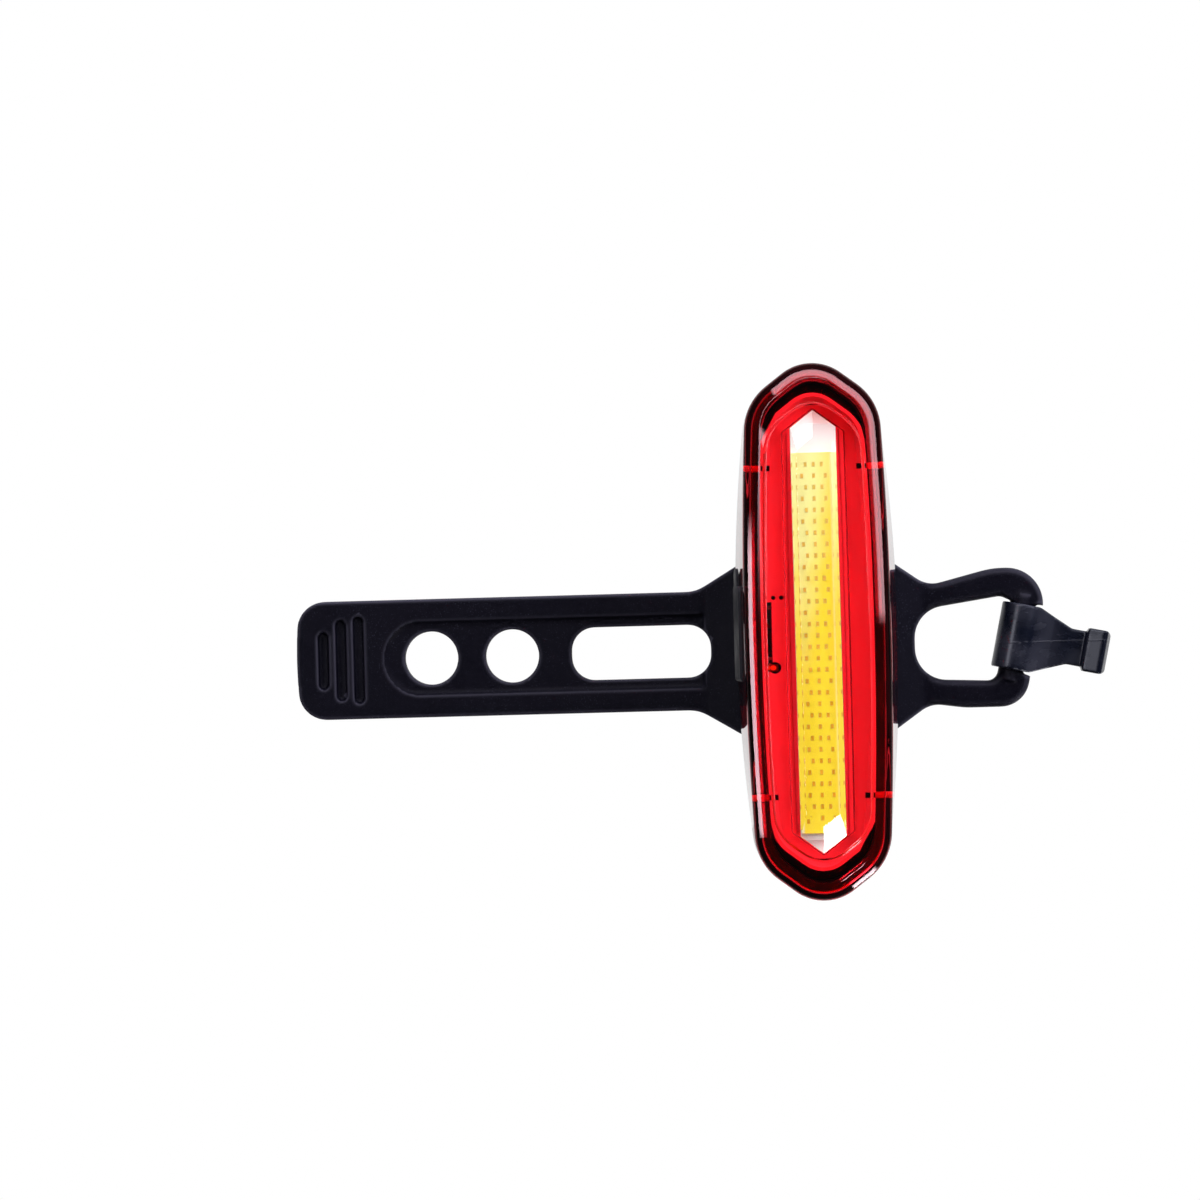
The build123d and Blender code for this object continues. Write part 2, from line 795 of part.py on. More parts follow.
# Reflector tray: a shallow dish with two rails for the strip and openings over the socket
with BuildPart() as reflector_tray:
    with BuildSketch(depth(tray_rear)):
        tray_outline(0)
    extrude(amount=tray_height)
    with BuildSketch(depth(tray_face)):
        tray_outline(tray_wall + tray_slope)
    with BuildSketch(depth(tray_rear + tray_height)):
        tray_outline(tray_wall)
    loft(ruled=True, mode=Mode.SUBTRACT)
    rail_x = strip_board_width / 2 + strip_rail_gap + strip_rail_width / 2
    with BuildSketch(depth(tray_face)):
        with GridLocations(2 * rail_x, 0, 2, 1):
            Rectangle(strip_rail_width, strip_board_length)
    extrude(amount=strip_rail_height)
    with BuildSketch(depth(tray_rear)):
        with Locations((tray_slot_inset - lens_half_width, 0)):
            Rectangle(tray_slot_width, tray_slot_length)
        with Locations(indicator_spot):
            Circle(indicator_hole / 2)
        with Locations((indicator_spot[0], -indicator_spot[1])):
            Circle(tray_pin_hole / 2)
        with Locations((indicator_spot[0] + tray_pin_spacing, -indicator_spot[1])):
            Circle(tray_pin_hole / 2)
        with Locations((0, strip_lead_z)):
            with GridLocations(strip_lead_spacing, 0, 2, 1):
                Circle(lead_diameter / 2 + lead_hole_gap)
        notch_x = half_width_at(snap_spacing / 2) - cavity_inset - tray_gap - tray_notch_length / 2
        with GridLocations(2 * notch_x, snap_spacing, 2, 2):
            Rectangle(2 * tray_notch_length, tray_notch_width)
        for end in (1, -1):
            with BuildLine() as corner:
                Polyline(
                    (-end * lens_half_width, end * tray_length / 2),
                    (-end * strip_board_width / 2, end * tray_length / 2),
                    (-end * (lens_half_width - tray_cut_reach), end * (tray_length / 2 - tray_cut_height)),
                    (-end * lens_half_width, end * (tray_length / 2 - tray_cut_height)),
                    close=True,
                )
            make_face(corner.edges())
    extrude(amount=tray_height, mode=Mode.SUBTRACT)
reflector_tray.part.label = "reflector_tray"


def lead(route, bends):
    """An eight-sided lead along straight runs joined by arcs, from the first point to the last."""
    with BuildPart() as wire:
        with BuildLine() as path:
            FilletPolyline(*route, radius=bends)
        with BuildSketch(Plane(origin=path.line @ 0, z_dir=path.line % 0)):
            RegularPolygon(lead_diameter / 2, lead_sides)
        sweep(path=path.line)
    return wire


battery_lead_depth = battery_rear + battery_thickness / 2


def battery_lead(x):
    """From the cell's end up beside the post and forward to the back of the board."""
    return lead(
        [
            (x, -battery_lead_depth, lamp_rise + battery_top),
            (x, -battery_lead_depth, lamp_rise + battery_lead_z),
            (x, -board_rear, lamp_rise + battery_lead_z),
        ],
        [lead_bend],
    )


battery_lead_red = battery_lead(battery_lead_x + lead_spacing / 2)
battery_lead_red.part.label = "battery_lead_red"

battery_lead_black = battery_lead(battery_lead_x - lead_spacing / 2)
battery_lead_black.part.label = "battery_lead_black"


def strip_lead(x):
    """From the front of the board, over in two bends, to the back of the light strip's board."""
    middle_depth = (board_front + tray_rear) / 2
    return lead(
        [
            (x, -board_front, lamp_rise + strip_lead_foot_z),
            (x, -(middle_depth - strip_lead_bend), lamp_rise + strip_lead_foot_z),
            (x, -(middle_depth + strip_lead_bend), lamp_rise + strip_lead_z),
            (x, -tray_face, lamp_rise + strip_lead_z),
        ],
        [strip_lead_bend, strip_lead_bend],
    )


led_lead_red = strip_lead(strip_lead_spacing / 2)
led_lead_red.part.label = "led_lead_red"

led_lead_black = strip_lead(-strip_lead_spacing / 2)
led_lead_black.part.label = "led_lead_black"

# Strap: the plan outline cut to the side profile, so the pad runs down into the tail and loop
tilt = math.tan(math.radians(bar_tilt))
pad_x = pad_width / 2
pad_z = pad_height / 2
tail_z = strap_width / 2
head_z = loop_head_width / 2
loop_end_x = bar_x + loop_end_margin
opening_start_z = loop_opening_start_width / 2
opening_end_z = head_z - loop_arm_width
opening_end_x = bar_x - bar_diameter / 2
bar_turn = math.radians(bar_tilt)
bar_axis = (math.sin(bar_turn), 0, math.cos(bar_turn))
bar_outward = (math.cos(bar_turn), 0, -math.sin(bar_turn))
bar_section = Plane(origin=(bar_x, -bar_depth, loop_lift), x_dir=bar_outward, z_dir=bar_axis)
bar_plan = Plane(origin=(bar_x, 0, loop_lift), x_dir=bar_outward, z_dir=(0, -1, 0))
sleeve_space = sleeve_length + 2 * sleeve_side_gap

with BuildPart() as strap:
    with BuildSketch(Plane.XZ):
        with BuildLine():
            FilletPolyline(
                (-tail_reach, 0),
                (-(tail_reach - tail_bulge), tail_z),
                (-(pad_x + flare_reach), tail_z),
                (-pad_x, pad_z),
                (pad_x, pad_z),
                (pad_x + loop_flare_reach, loop_neck_width / 2),
                (loop_head_x, loop_lift + head_z),
                (loop_end_x + head_z * tilt, loop_lift + head_z),
                (loop_end_x - head_z * tilt, loop_lift - head_z),
                (loop_head_x - 2 * head_z * tilt, loop_lift - head_z),
                (pad_x + loop_flare_reach, -loop_neck_width / 2),
                (pad_x, -pad_z),
                (-pad_x, -pad_z),
                (-(pad_x + flare_reach), -tail_z),
                (-(tail_reach - tail_bulge), -tail_z),
                radius=(
                    tail_bulge_round,
                    tail_corner,
                    flare_round,
                    pad_corner,
                    pad_corner,
                    loop_neck_round,
                    loop_head_round,
                    loop_outer_round,
                    loop_lower_round,
                    loop_head_round,
                    loop_neck_round,
                    pad_corner,
                    pad_corner,
                    flare_round,
                    tail_corner,
                ),
                close=True,
            )
        make_face()
    extrude(amount=pad_depth)
    with BuildSketch(Plane.XY):
        with BuildLine():
            Polyline(
                (-2 * tail_reach, -strap_rear),
                (-(pad_x + ramp_reach), -strap_rear),
                (-pad_x, 0),
                (pad_x, 0),
                (pad_x + ramp_reach, -strap_rear),
                (tail_reach, -strap_rear),
                (tail_reach, -strap_front),
                (pad_x + ramp_reach, -strap_front),
                (pad_x, -pad_depth),
                (-pad_x, -pad_depth),
                (-(pad_x + ramp_reach), -strap_front),
                (-2 * tail_reach, -strap_front),
                close=True,
            )
        make_face()
    extrude(amount=pad_height, both=True, mode=Mode.INTERSECT)
    with BuildSketch(Plane.XZ):
        with BuildLine():
            FilletPolyline(
                (loop_opening_start, -opening_start_z),
                (loop_opening_start, opening_start_z),
                (opening_end_x + opening_end_z * tilt, loop_lift + opening_end_z),
                (opening_end_x - opening_end_z * tilt, loop_lift - opening_end_z),
                radius=(
                    loop_opening_round,
                    loop_opening_round,
                    loop_opening_corner,
                    loop_opening_corner,
                ),
                close=True,
            )
        make_face()
    extrude(amount=pad_depth, mode=Mode.SUBTRACT)
    loop_edges = edges().filter_by(lambda edge: edge.center().X > pad_x + loop_flare_reach)
    fillet(loop_edges.filter_by(lambda edge: edge.bounding_box().size.Y < tiny), loop_edge_round)
    with BuildSketch(bar_plan):
        Rectangle(sleeve_diameter + 2 * sleeve_side_gap, sleeve_space)
    extrude(amount=pad_depth, mode=Mode.SUBTRACT)
    with BuildSketch(bar_section):
        Circle(bar_diameter / 2)
    extrude(amount=sleeve_space / 2 + bar_root, both=True)
    with BuildSketch(strap_depth(strap_front)):
        with Locations((-(track_end - track_width / 2), 0)):
            Circle(track_width / 2)
        with Locations((-(track_end - track_width / 2 + track_start) / 2, 0)):
            Rectangle(track_end - track_width / 2 - track_start, track_width)
    extrude(amount=-track_depth, mode=Mode.SUBTRACT)
    for index, groove_length in enumerate(groove_lengths):
        with BuildSketch(strap_depth(strap_front)):
            with Locations((-(groove_start + index * groove_pitch), 0)):
                SlotOverall(groove_length, groove_width, rotation=90)
        extrude(amount=-groove_depth, mode=Mode.SUBTRACT)
    with BuildSketch(Plane.XZ):
        with Locations(*((-place, 0) for place in hole_positions)):
            Circle(hole_diameter / 2)
        with Locations((-(slot_end + slot_length / 2), 0)):
            RectangleRounded(slot_length, slot_width, slot_corner)
        Circle(keyhole_diameter / 2)
        SlotOverall(keyhole_diameter + 2 * keyhole_notch_reach, keyhole_notch_width, rotation=90)
    extrude(amount=pad_depth, mode=Mode.SUBTRACT)
    with BuildSketch(Plane.XZ):
        Circle(recess_diameter / 2)
    extrude(amount=web_rear, mode=Mode.SUBTRACT)
    with BuildSketch(Plane.XY):
        with Locations((0, saddle_radius - saddle_depth)):
            Circle(saddle_radius)
    extrude(amount=pad_height, both=True, mode=Mode.SUBTRACT)
strap.part.label = "strap"

# Hook: a slit sleeve that snaps on the loop's bar, a tapered arm, a neck and a wide head
neck_end = hook_reach - hook_head_length
sleeve_radius = sleeve_diameter / 2
head_turn = math.radians(hook_head_tilt)
head_end = hook_reach - hook_head_length / 2 + hook_head_length / 2 * math.cos(head_turn)
head_end += hook_head_depth / 2 * math.sin(head_turn)
arm_front = hook_sag - hook_arm_thickness / 2
arm_rear = hook_sag + hook_arm_thickness / 2

with BuildPart() as hook:
    with BuildSketch(bar_section):
        Circle(sleeve_radius)
        with BuildLine():
            Polyline(
                (hook_root_front, -hook_root_rear),
                (neck_end / 2, arm_front),
                (neck_end + hook_head_round, arm_front),
                (neck_end + hook_head_round, arm_rear),
                (neck_end / 2, arm_rear),
                (hook_root_front, hook_root_depth),
                close=True,
            )
        make_face()
        head_middle = arm_rear - hook_head_depth / 2 + hook_head_round / 2
        with Locations((hook_reach - hook_head_length / 2, head_middle)):
            RectangleRounded(hook_head_length, hook_head_depth, hook_head_round, rotation=-hook_head_tilt)
        Circle(bar_diameter / 2 + sleeve_gap, mode=Mode.SUBTRACT)
        with Locations(Location((0, 0), hook_slit_turn)):
            with Locations((sleeve_radius, 0)):
                Rectangle(bar_diameter, sleeve_slit, mode=Mode.SUBTRACT)
    extrude(amount=sleeve_length / 2, both=True)
    with BuildSketch(bar_plan):
        with BuildLine():
            FilletPolyline(
                (-sleeve_diameter, -sleeve_length / 2),
                (-sleeve_diameter, sleeve_length / 2),
                (hook_taper_start, sleeve_length / 2),
                (hook_neck_start, hook_neck_width / 2),
                (neck_end, hook_neck_width / 2),
                (neck_end, hook_head_width / 2),
                (head_end, hook_head_width / 2),
                (head_end, -hook_head_width / 2),
                (neck_end, -hook_head_width / 2),
                (neck_end, -hook_neck_width / 2),
                (hook_neck_start, -hook_neck_width / 2),
                (hook_taper_start, -sleeve_length / 2),
                radius=(
                    0,
                    0,
                    hook_neck_round,
                    hook_neck_round,
                    hook_root_round,
                    hook_root_round,
                    hook_head_corner,
                    hook_head_corner,
                    hook_root_round,
                    hook_root_round,
                    hook_neck_round,
                    hook_neck_round,
                ),
                close=True,
            )
        make_face()
    extrude(amount=bar_depth + sleeve_diameter, both=True, mode=Mode.INTERSECT)
hook.part.label = "hook"

pieces = (
    front_lens,
    light_window,
    seal_ring,
    rear_case,
    battery_cell,
    battery_foam_pad,
    circuit_board,
    board_screws,
    controller_chip,
    charger_chip,
    chip_resistors,
    chip_capacitors,
    indicator_led,
    usb_shell,
    usb_tongue,
    usb_cover,
    tact_switch_body,
    tact_switch_plunger,
    push_button,
    led_board,
    led_chips,
    led_phosphor,
    reflector_tray,
    battery_lead_red,
    battery_lead_black,
    led_lead_red,
    led_lead_black,
    strap,
    hook,
)
for piece in pieces:
    export_step(piece.part, f"parts/{piece.part.label}.step")
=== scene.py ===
# Bicycle tail light on a rubber strap, seen from the front as it hangs ready for a seat post.
# Lengths of the light are in millimetres and become metres where a mesh is made. The camera,
# the lights and the floor are placed in metres.
import math

import bmesh
import bpy
import numpy as np
from mathutils import Matrix, Vector


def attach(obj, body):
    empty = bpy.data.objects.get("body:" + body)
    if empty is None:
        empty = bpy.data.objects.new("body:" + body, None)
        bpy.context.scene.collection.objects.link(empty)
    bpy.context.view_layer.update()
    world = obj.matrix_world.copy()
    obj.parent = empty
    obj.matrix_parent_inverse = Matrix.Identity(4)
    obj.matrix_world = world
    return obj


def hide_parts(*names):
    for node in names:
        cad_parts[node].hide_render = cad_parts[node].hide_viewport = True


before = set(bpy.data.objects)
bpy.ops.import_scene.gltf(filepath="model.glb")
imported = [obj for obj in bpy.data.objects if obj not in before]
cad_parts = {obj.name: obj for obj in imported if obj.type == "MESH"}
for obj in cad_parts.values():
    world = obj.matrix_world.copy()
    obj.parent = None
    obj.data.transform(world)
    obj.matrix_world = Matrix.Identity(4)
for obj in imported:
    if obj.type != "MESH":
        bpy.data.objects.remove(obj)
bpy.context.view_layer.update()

# Camera: a long lens level with the lamp, almost square to it and a little to its left. It is
# rolled a degree and a half, so the strap climbs to the right as it does in the photograph.
camera_place = Vector((-0.010, -0.577, 0.002))
camera_aim = Vector((-0.0365, 0.9993, 0.0100)).normalized()
camera_roll = 0.0270
camera_view = 0.2999
camera = bpy.data.objects.new("camera", bpy.data.cameras.new("camera"))
camera.data.angle = camera_view
camera.data.clip_start = 0.01
camera_right = camera_aim.cross(Vector((0, 0, 1))).normalized()
camera_up = camera_right.cross(camera_aim)
rolled_right = camera_right * math.cos(camera_roll) - camera_up * math.sin(camera_roll)
rolled_up = camera_right * math.sin(camera_roll) + camera_up * math.cos(camera_roll)
camera.matrix_world = Matrix((rolled_right, rolled_up, -camera_aim)).transposed().to_4x4()
camera.location = camera_place
bpy.context.scene.collection.objects.link(camera)
bpy.context.scene.camera = camera

# Strap: one piece of black silicone rubber, moulded with its pad, tail holes, adjusting slot
# and hook loop. Its edges are soft, and its matt skin holds fine dust.
strap_voxel, strap_rounds = 0.26, 5


class Value:
    """A value in a shader's nodes. Arithmetic on it adds the maths nodes that work it out."""

    def __init__(self, nodes, socket):
        self.nodes = nodes
        self.socket = socket

    def maths(self, operation, *others):
        return self.nodes.node("Math", {"operation": operation}, dict(enumerate((self, *others))))

    def __add__(self, other):
        return self.maths("ADD", other)

    def __mul__(self, other):
        return self.maths("MULTIPLY", other)

    def __sub__(self, other):
        return self.maths("SUBTRACT", other)

    def __rsub__(self, other):
        return self * -1 + other

    __radd__ = __add__
    __rmul__ = __mul__

    def ramp(self, low, high, start=0.0, end=1.0):
        """A smooth step from start to end as this value goes from low to high."""
        limits = {"From Min": low, "From Max": high, "To Min": start, "To Max": end, "Value": self}
        return self.nodes.node("MapRange", {"interpolation_type": "SMOOTHSTEP"}, limits)

    def between(self, low, high):
        """From low to high over the range that most of a noise's values lie in."""
        return self.ramp(0.3, 0.7, low, high)

    def band(self, outset, rise, fall, end):
        """1 from rise to fall, with smooth steps down to 0 at the outset and the end."""
        return self.ramp(outset, rise) * self.ramp(fall, end, 1.0, 0.0)


class Nodes:
    """The nodes of one shader, which start from a kind of texture coordinates."""

    def __init__(self, tree, coordinates):
        self.tree = tree
        self.place = self.node("TexCoord", output=coordinates)

    def node(self, kind, settings=None, inputs=None, output=0):
        made = self.tree.nodes.new("ShaderNode" + kind)
        for name, setting in (settings or {}).items():
            setattr(made, name, setting)
        for name, value in (inputs or {}).items():
            self.feed(made.inputs[name], value)
        return Value(self, made.outputs[output])

    def feed(self, socket, value):
        if isinstance(value, Value):
            self.tree.links.new(value.socket, socket)
        else:
            socket.default_value = value

    def axis(self, name):
        """One coordinate, in the unit of the coordinates."""
        return self.node("SeparateXYZ", inputs={"Vector": self.place}, output=name)


class Finish(Nodes):
    """A procedural material on one principled shader, placed by Object coordinates."""

    def __init__(self, name, **constants):
        self.material = bpy.data.materials.new(name)
        self.material.use_nodes = True
        super().__init__(self.material.node_tree, "Object")
        self.shader = self.tree.nodes["Principled BSDF"]
        self.set(**constants)

    def set(self, **values):
        """Sets or feeds the shader's sockets, with _ for the blanks in their names."""
        for name, value in values.items():
            if isinstance(value, tuple):
                value = (*value, 1.0)
            self.feed(self.shader.inputs[name.replace("_", " ")], value)

    def axis(self, name):
        """One coordinate in millimetres."""
        return super().axis(name) * 1000

    def away_from(self, x, z):
        """Distance in millimetres from the forward axis through a place."""
        across = self.axis("X") - x
        up = self.axis("Z") - z
        return (across * across + up * up).maths("SQRT")

    def noise(self, size, detail, stretch=(1, 1, 1)):
        """Noise from 0 to 1 whose blotches are about this many millimetres."""
        place = self.node("VectorMath", {"operation": "MULTIPLY"}, {0: self.place, 1: stretch})
        inputs = {"Vector": place, "Scale": 1000 / size, "Detail": detail}
        return self.node("TexNoise", inputs=inputs)

    def mix(self, factor, first, second):
        """A colour between two colours."""
        ends = [(*end, 1.0) if isinstance(end, tuple) else end for end in (first, second)]
        inputs = {0: factor, 6: ends[0], 7: ends[1]}
        return self.node("Mix", {"data_type": "RGBA"}, inputs, output=2)

    def bump(self, height, rise):
        """Raises the surface by this many millimetres where the height is 1."""
        inputs = {"Height": height, "Distance": rise / 1000}
        self.set(Normal=self.node("Bump", inputs=inputs))


def merged_copy(node, name):
    """A new object with a CAD node's triangles, their shared corners merged."""
    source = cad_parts[node].data
    work = bmesh.new()
    places = np.empty(len(source.vertices) * 3)
    source.vertices.foreach_get("co", places)
    corners = [work.verts.new(place) for place in places.reshape(-1, 3)]
    for polygon in source.polygons:
        work.faces.new([corners[index] for index in polygon.vertices])
    bmesh.ops.remove_doubles(work, verts=work.verts, dist=1e-6)
    bmesh.ops.recalc_face_normals(work, faces=work.faces)
    mesh = bpy.data.meshes.new(name)
    work.to_mesh(mesh)
    work.free()
    piece = bpy.data.objects.new(name, mesh)
    bpy.context.scene.collection.objects.link(piece)
    return piece


def applied(piece, *modifiers):
    """Adds the modifiers, each a kind with its settings, and bakes them into the mesh."""
    for kind, settings in modifiers:
        modifier = piece.modifiers.new(kind.lower(), kind)
        for name, setting in settings.items():
            setattr(modifier, name, setting)
    bpy.context.view_layer.update()
    shaped = piece.evaluated_get(bpy.context.evaluated_depsgraph_get())
    baked = bpy.data.meshes.new_from_object(shaped)
    old = piece.data
    piece.modifiers.clear()
    piece.data = baked
    bpy.data.meshes.remove(old)
    baked.name = piece.name


def dressed(piece, finish, slot, body, *replaced):
    """Gives a piece its material, and lets it stand for its CAD nodes on their body. The slot is
    not used.
    """
    piece.data.materials.clear()
    piece.data.materials.append(finish.material)
    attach(piece, body)
    if replaced:
        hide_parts(*replaced)


def moulded(node, name, voxel, rounds):
    """A CAD node as a soft moulding: remeshed at a voxel size in mm, then smoothed in rounds."""
    piece = merged_copy(node, name)
    remesh = ("REMESH", {"mode": "VOXEL", "voxel_size": voxel / 1000})
    applied(piece, remesh, ("SMOOTH", {"factor": 0.5, "iterations": rounds}))
    piece.data.shade_smooth()
    return piece


strap = moulded("strap", "strap_rubber_moulding", strap_voxel, strap_rounds)
rubber = Finish("strap_rubber", Specular_IOR_Level=0.07, Specular_Tint=(0.92, 0.9, 1.0))
dust = rubber.noise(0.22, 1.0).ramp(0.60, 0.74)
cloud = rubber.noise(9.0, 3.0)
# The convex edges are painted lighter: a painted highlight along the rounded edges, not wear.
edge = rubber.node("NewGeometry", output="Pointiness").ramp(0.502, 0.540)
edge_highlight = rubber.mix(edge * 0.7, (0.0012, 0.0011, 0.0034), (0.034, 0.032, 0.048))
dusty = rubber.mix(dust * cloud.ramp(0.35, 0.75, 0.1, 0.6), edge_highlight, (0.022, 0.022, 0.034))
skin = rubber.noise(0.12, 2.0) * 0.5 + rubber.noise(0.9, 2.0) * 0.5
rubber.set(Base_Color=dusty, Roughness=cloud.between(0.42, 0.56))
rubber.bump(skin, 0.035)
dressed(strap, rubber, "strap_rubber", "strap", "strap")

# Hook: a gloss black acetal clip. Its slit sleeve snaps on the loop's bar, a flat arm with a
# mould line along it leads to a narrow neck, and its wide head catches in the tail's holes.
hook_voxel, hook_rounds = 0.11, 20
hook = moulded("hook", "hook_clip", hook_voxel, hook_rounds)
acetal = Finish("hook_plastic", Specular_IOR_Level=0.32, Specular_Tint=(0.85, 0.86, 1.0))
scuff = acetal.noise(1.6, 4.0, stretch=(0.4, 1, 1))
# Flow marks lighten the arm, made brighter there to stand in for a soft reflection: partly real
# tone, partly painted sheen.
arm_only = acetal.axis("X").ramp(31.0, 38.0, 1.0, 0.1)
flow_and_sheen = acetal.noise(5.0, 2.0).between(0.0, 1.0) * arm_only
wander = acetal.axis("Z") + acetal.noise(2.0, 1.0) * 0.15 - 0.1
mould_line = wander.maths("ABSOLUTE").ramp(0.03, 0.12, 1.0, 0.0)
acetal.set(
    Base_Color=acetal.mix(flow_and_sheen, (0.0015, 0.0022, 0.0060), (0.0150, 0.0155, 0.0240)),
    Roughness=scuff.ramp(0.45, 0.75, 0.24, 0.40),
)
acetal.bump(mould_line * 0.3 + scuff * 0.12, 0.05)
dressed(hook, acetal, "hook_plastic", "hook", "hook")

# Rear case: black polycarbonate, moulded as a rounded bowl with a collar that the lens slips
# over. Its boss and two lugs lock into the strap's keyhole with a quarter turn.
lamp_rise = 2.3
flank = math.radians(37.0)
lamp_size = {
    "length": 75.0,
    "width": 20.6,
    "shoulder_width": 18.7,
    "shoulder_round": 8.0,
    "tip_round": 6.8,
}


def barrel(length, width, shoulder_width, shoulder_round, tip_round):
    """Points (x, z) anticlockwise round an outline like the lamp's, of four equal quarters.
    Side arc: x = c + R cos t, z = R sin t, with R = (k^2 + s^2) / 2s for a bulge s at height k.
    Shoulder arc: its centre lies on the side arc's radius and its circle touches the flank.
    Tip arc: its centre lies on the middle line and its circle touches both flanks."""
    apex = length / 2 + tip_round * (1 / math.cos(flank) - 1)
    corner = apex - shoulder_width / 2 * math.tan(flank)
    bulge = (width - shoulder_width) / 2
    side_round = (corner**2 + bulge**2) / (2 * bulge)
    side_middle = width / 2 - side_round
    reach = apex * math.cos(flank)
    normal_end = math.pi / 2 - flank
    spare = (reach - shoulder_round - side_middle * math.sin(flank)) / (side_round - shoulder_round)
    side_end = normal_end - math.acos(spare)
    shoulder = (side_round - shoulder_round) * np.array([math.cos(side_end), math.sin(side_end)])
    shoulder += (side_middle, 0)
    tip = np.array([0, (reach - tip_round) / math.cos(flank)])

    def arc(centre, radius, start, end, count):
        turn = np.linspace(start, end, count)[:, None]
        return centre + radius * np.hstack([np.cos(turn), np.sin(turn)])

    side = arc((side_middle, 0), side_round, 0, side_end, 14)
    round_shoulder = arc(shoulder, shoulder_round, side_end, normal_end, 11)[1:]
    round_tip = arc(tip, tip_round, normal_end, math.pi / 2, 11)
    share = np.linspace(0, 1, 8)[1:-1, None]
    straight = round_shoulder[-1] * (1 - share) + round_tip[0] * share
    quarter = np.vstack([side, round_shoulder, straight, round_tip])
    left = quarter[::-1][1:] * (-1, 1)
    half = np.vstack([quarter, left])
    return np.vstack([half, half[::-1][1:-1] * (1, -1)])


def placed(ring, depth):
    """Points (x, z) round the lamp's middle at a depth in front of the post, in mm."""
    return np.column_stack([ring[:, 0], np.full(len(ring), -depth), ring[:, 1] + lamp_rise])


def outline_ring(size, inset, depth, flare=0.0):
    """A barrel outline moved inward, with its sides moved back outward by the flare."""
    ring = barrel(
        size["length"] - 2 * inset,
        size["width"] - 2 * inset + 2 * flare,
        size["shoulder_width"] - 2 * inset,
        size["shoulder_round"] - inset,
        size["tip_round"] - inset,
    )
    return placed(ring, depth)


def lamp_ring(inset, depth, flare=0.0):
    """The lamp's outline moved inward, at a depth in front of the post."""
    return outline_ring(lamp_size, inset, depth, flare)


def circle_ring(x, z, radius, depth, count=96):
    """A circle round a forward axis, as points in mm."""
    turn = np.arange(count) * 2 * math.pi / count
    return np.column_stack(
        [x + radius * np.cos(turn), np.full(count, -depth), z + radius * np.sin(turn)]
    )


def bar_ring(reach, radius, depth, count=13):
    """A bar with round ends across the lock's axis, as points in mm."""
    half_turn = np.linspace(-1, 1, count) * math.pi / 2
    turn = np.concatenate([half_turn, half_turn + math.pi])
    middle = np.repeat([reach, -reach], count)
    return np.column_stack(
        [middle + radius * np.cos(turn), np.full(2 * count, -depth), radius * np.sin(turn)]
    )


def eased(rings, roundings, steps=4):
    """Rings whose corner at ring B, between A and C, becomes the curve
    (1-t)^2 (B + a) + 2t(1-t) B + t^2 (B + c), where a and c point to A and C.
    A ring with no rounding stays as it is, and the two end rings have none."""
    made = []
    for index, (ring, rounding) in enumerate(zip(rings, roundings)):
        if rounding == 0:
            made.append(ring)
            continue
        arms = []
        for other in (rings[index - 1], rings[index + 1]):
            arm = other - ring
            length = np.maximum(np.linalg.norm(arm, axis=1, keepdims=True), 1e-9)
            arms.append(arm / length * np.minimum(rounding, length * 0.45))
        for t in np.linspace(0, 1, steps + 1):
            made.append(ring + (1 - t) ** 2 * arms[0] + t**2 * arms[1])
    return made


def lofted(rings, closed=False):
    """Corners and faces of the surface through rings, with flat ends where it isn't closed."""
    size = len(rings[0])
    grid = np.arange(len(rings) * size).reshape(len(rings), size)
    nearer = grid if closed else grid[:-1]
    further = np.roll(grid, -1, axis=0) if closed else grid[1:]
    quads = np.stack(
        [nearer, np.roll(nearer, -1, axis=1), np.roll(further, -1, axis=1), further], axis=-1
    )
    faces = quads.reshape(-1, 4).tolist()
    if not closed:
        faces += [grid[0][::-1].tolist(), grid[-1].tolist()]
    return np.vstack(rings), faces


def piece_from(name, *shells):
    """One object from closed shells of corners in mm and faces."""
    places, faces, start = [], [], 0
    for corners, shell_faces in shells:
        places.append(corners / 1000)
        faces += [[index + start for index in face] for face in shell_faces]
        start += len(corners)
    mesh = bpy.data.meshes.new(name)
    mesh.from_pydata(np.vstack(places), [], faces)
    work = bmesh.new()
    work.from_mesh(mesh)
    bmesh.ops.recalc_face_normals(work, faces=work.faces)
    work.to_mesh(mesh)
    work.free()
    piece = bpy.data.objects.new(name, mesh)
    bpy.context.scene.collection.objects.link(piece)
    return piece


def block(low, high):
    """A box between two corners in mm, as a shell."""
    (x0, y0, z0), (x1, y1, z1) = low, high
    ends = [np.array([(x0, y, z0), (x1, y, z0), (x1, y, z1), (x0, y, z1)]) for y in (y0, y1)]
    return lofted(ends)


def cut(piece, *shells):
    """Cuts closed shells out of a piece."""
    cutter = piece_from(piece.name + "_cutter", *shells)
    applied(piece, ("BOOLEAN", {"operation": "DIFFERENCE", "object": cutter, "solver": "EXACT"}))
    bpy.data.meshes.remove(cutter.data)


def smooth(piece, angle):
    """Shades a piece smooth, with sharp edges where its faces meet at more than this angle."""
    piece.data.shade_smooth()
    piece.data.set_sharp_from_angle(angle=math.radians(angle))


case_back, case_floor, back_round = 7.3, 8.9, 3.1
lens_base, base_flare, lens_gap = 14.8, 1.15, 0.1
groove_outside, groove_inside, groove_floor = 0.35, 1.05, 14.2
collar_outside, collar_inside, collar_top = 1.3, 2.4, 21.4


def back_ring(h):
    """The rounded back at a share h of its height: a quarter of an ellipse, moved in by
    gap + round (1 - sqrt(1 - (1 - h)^2))."""
    inset = lens_gap + back_round * (1 - math.sqrt(1 - (1 - h) ** 2))
    return lamp_ring(inset, case_back + h * (lens_base - case_back), base_flare * h)


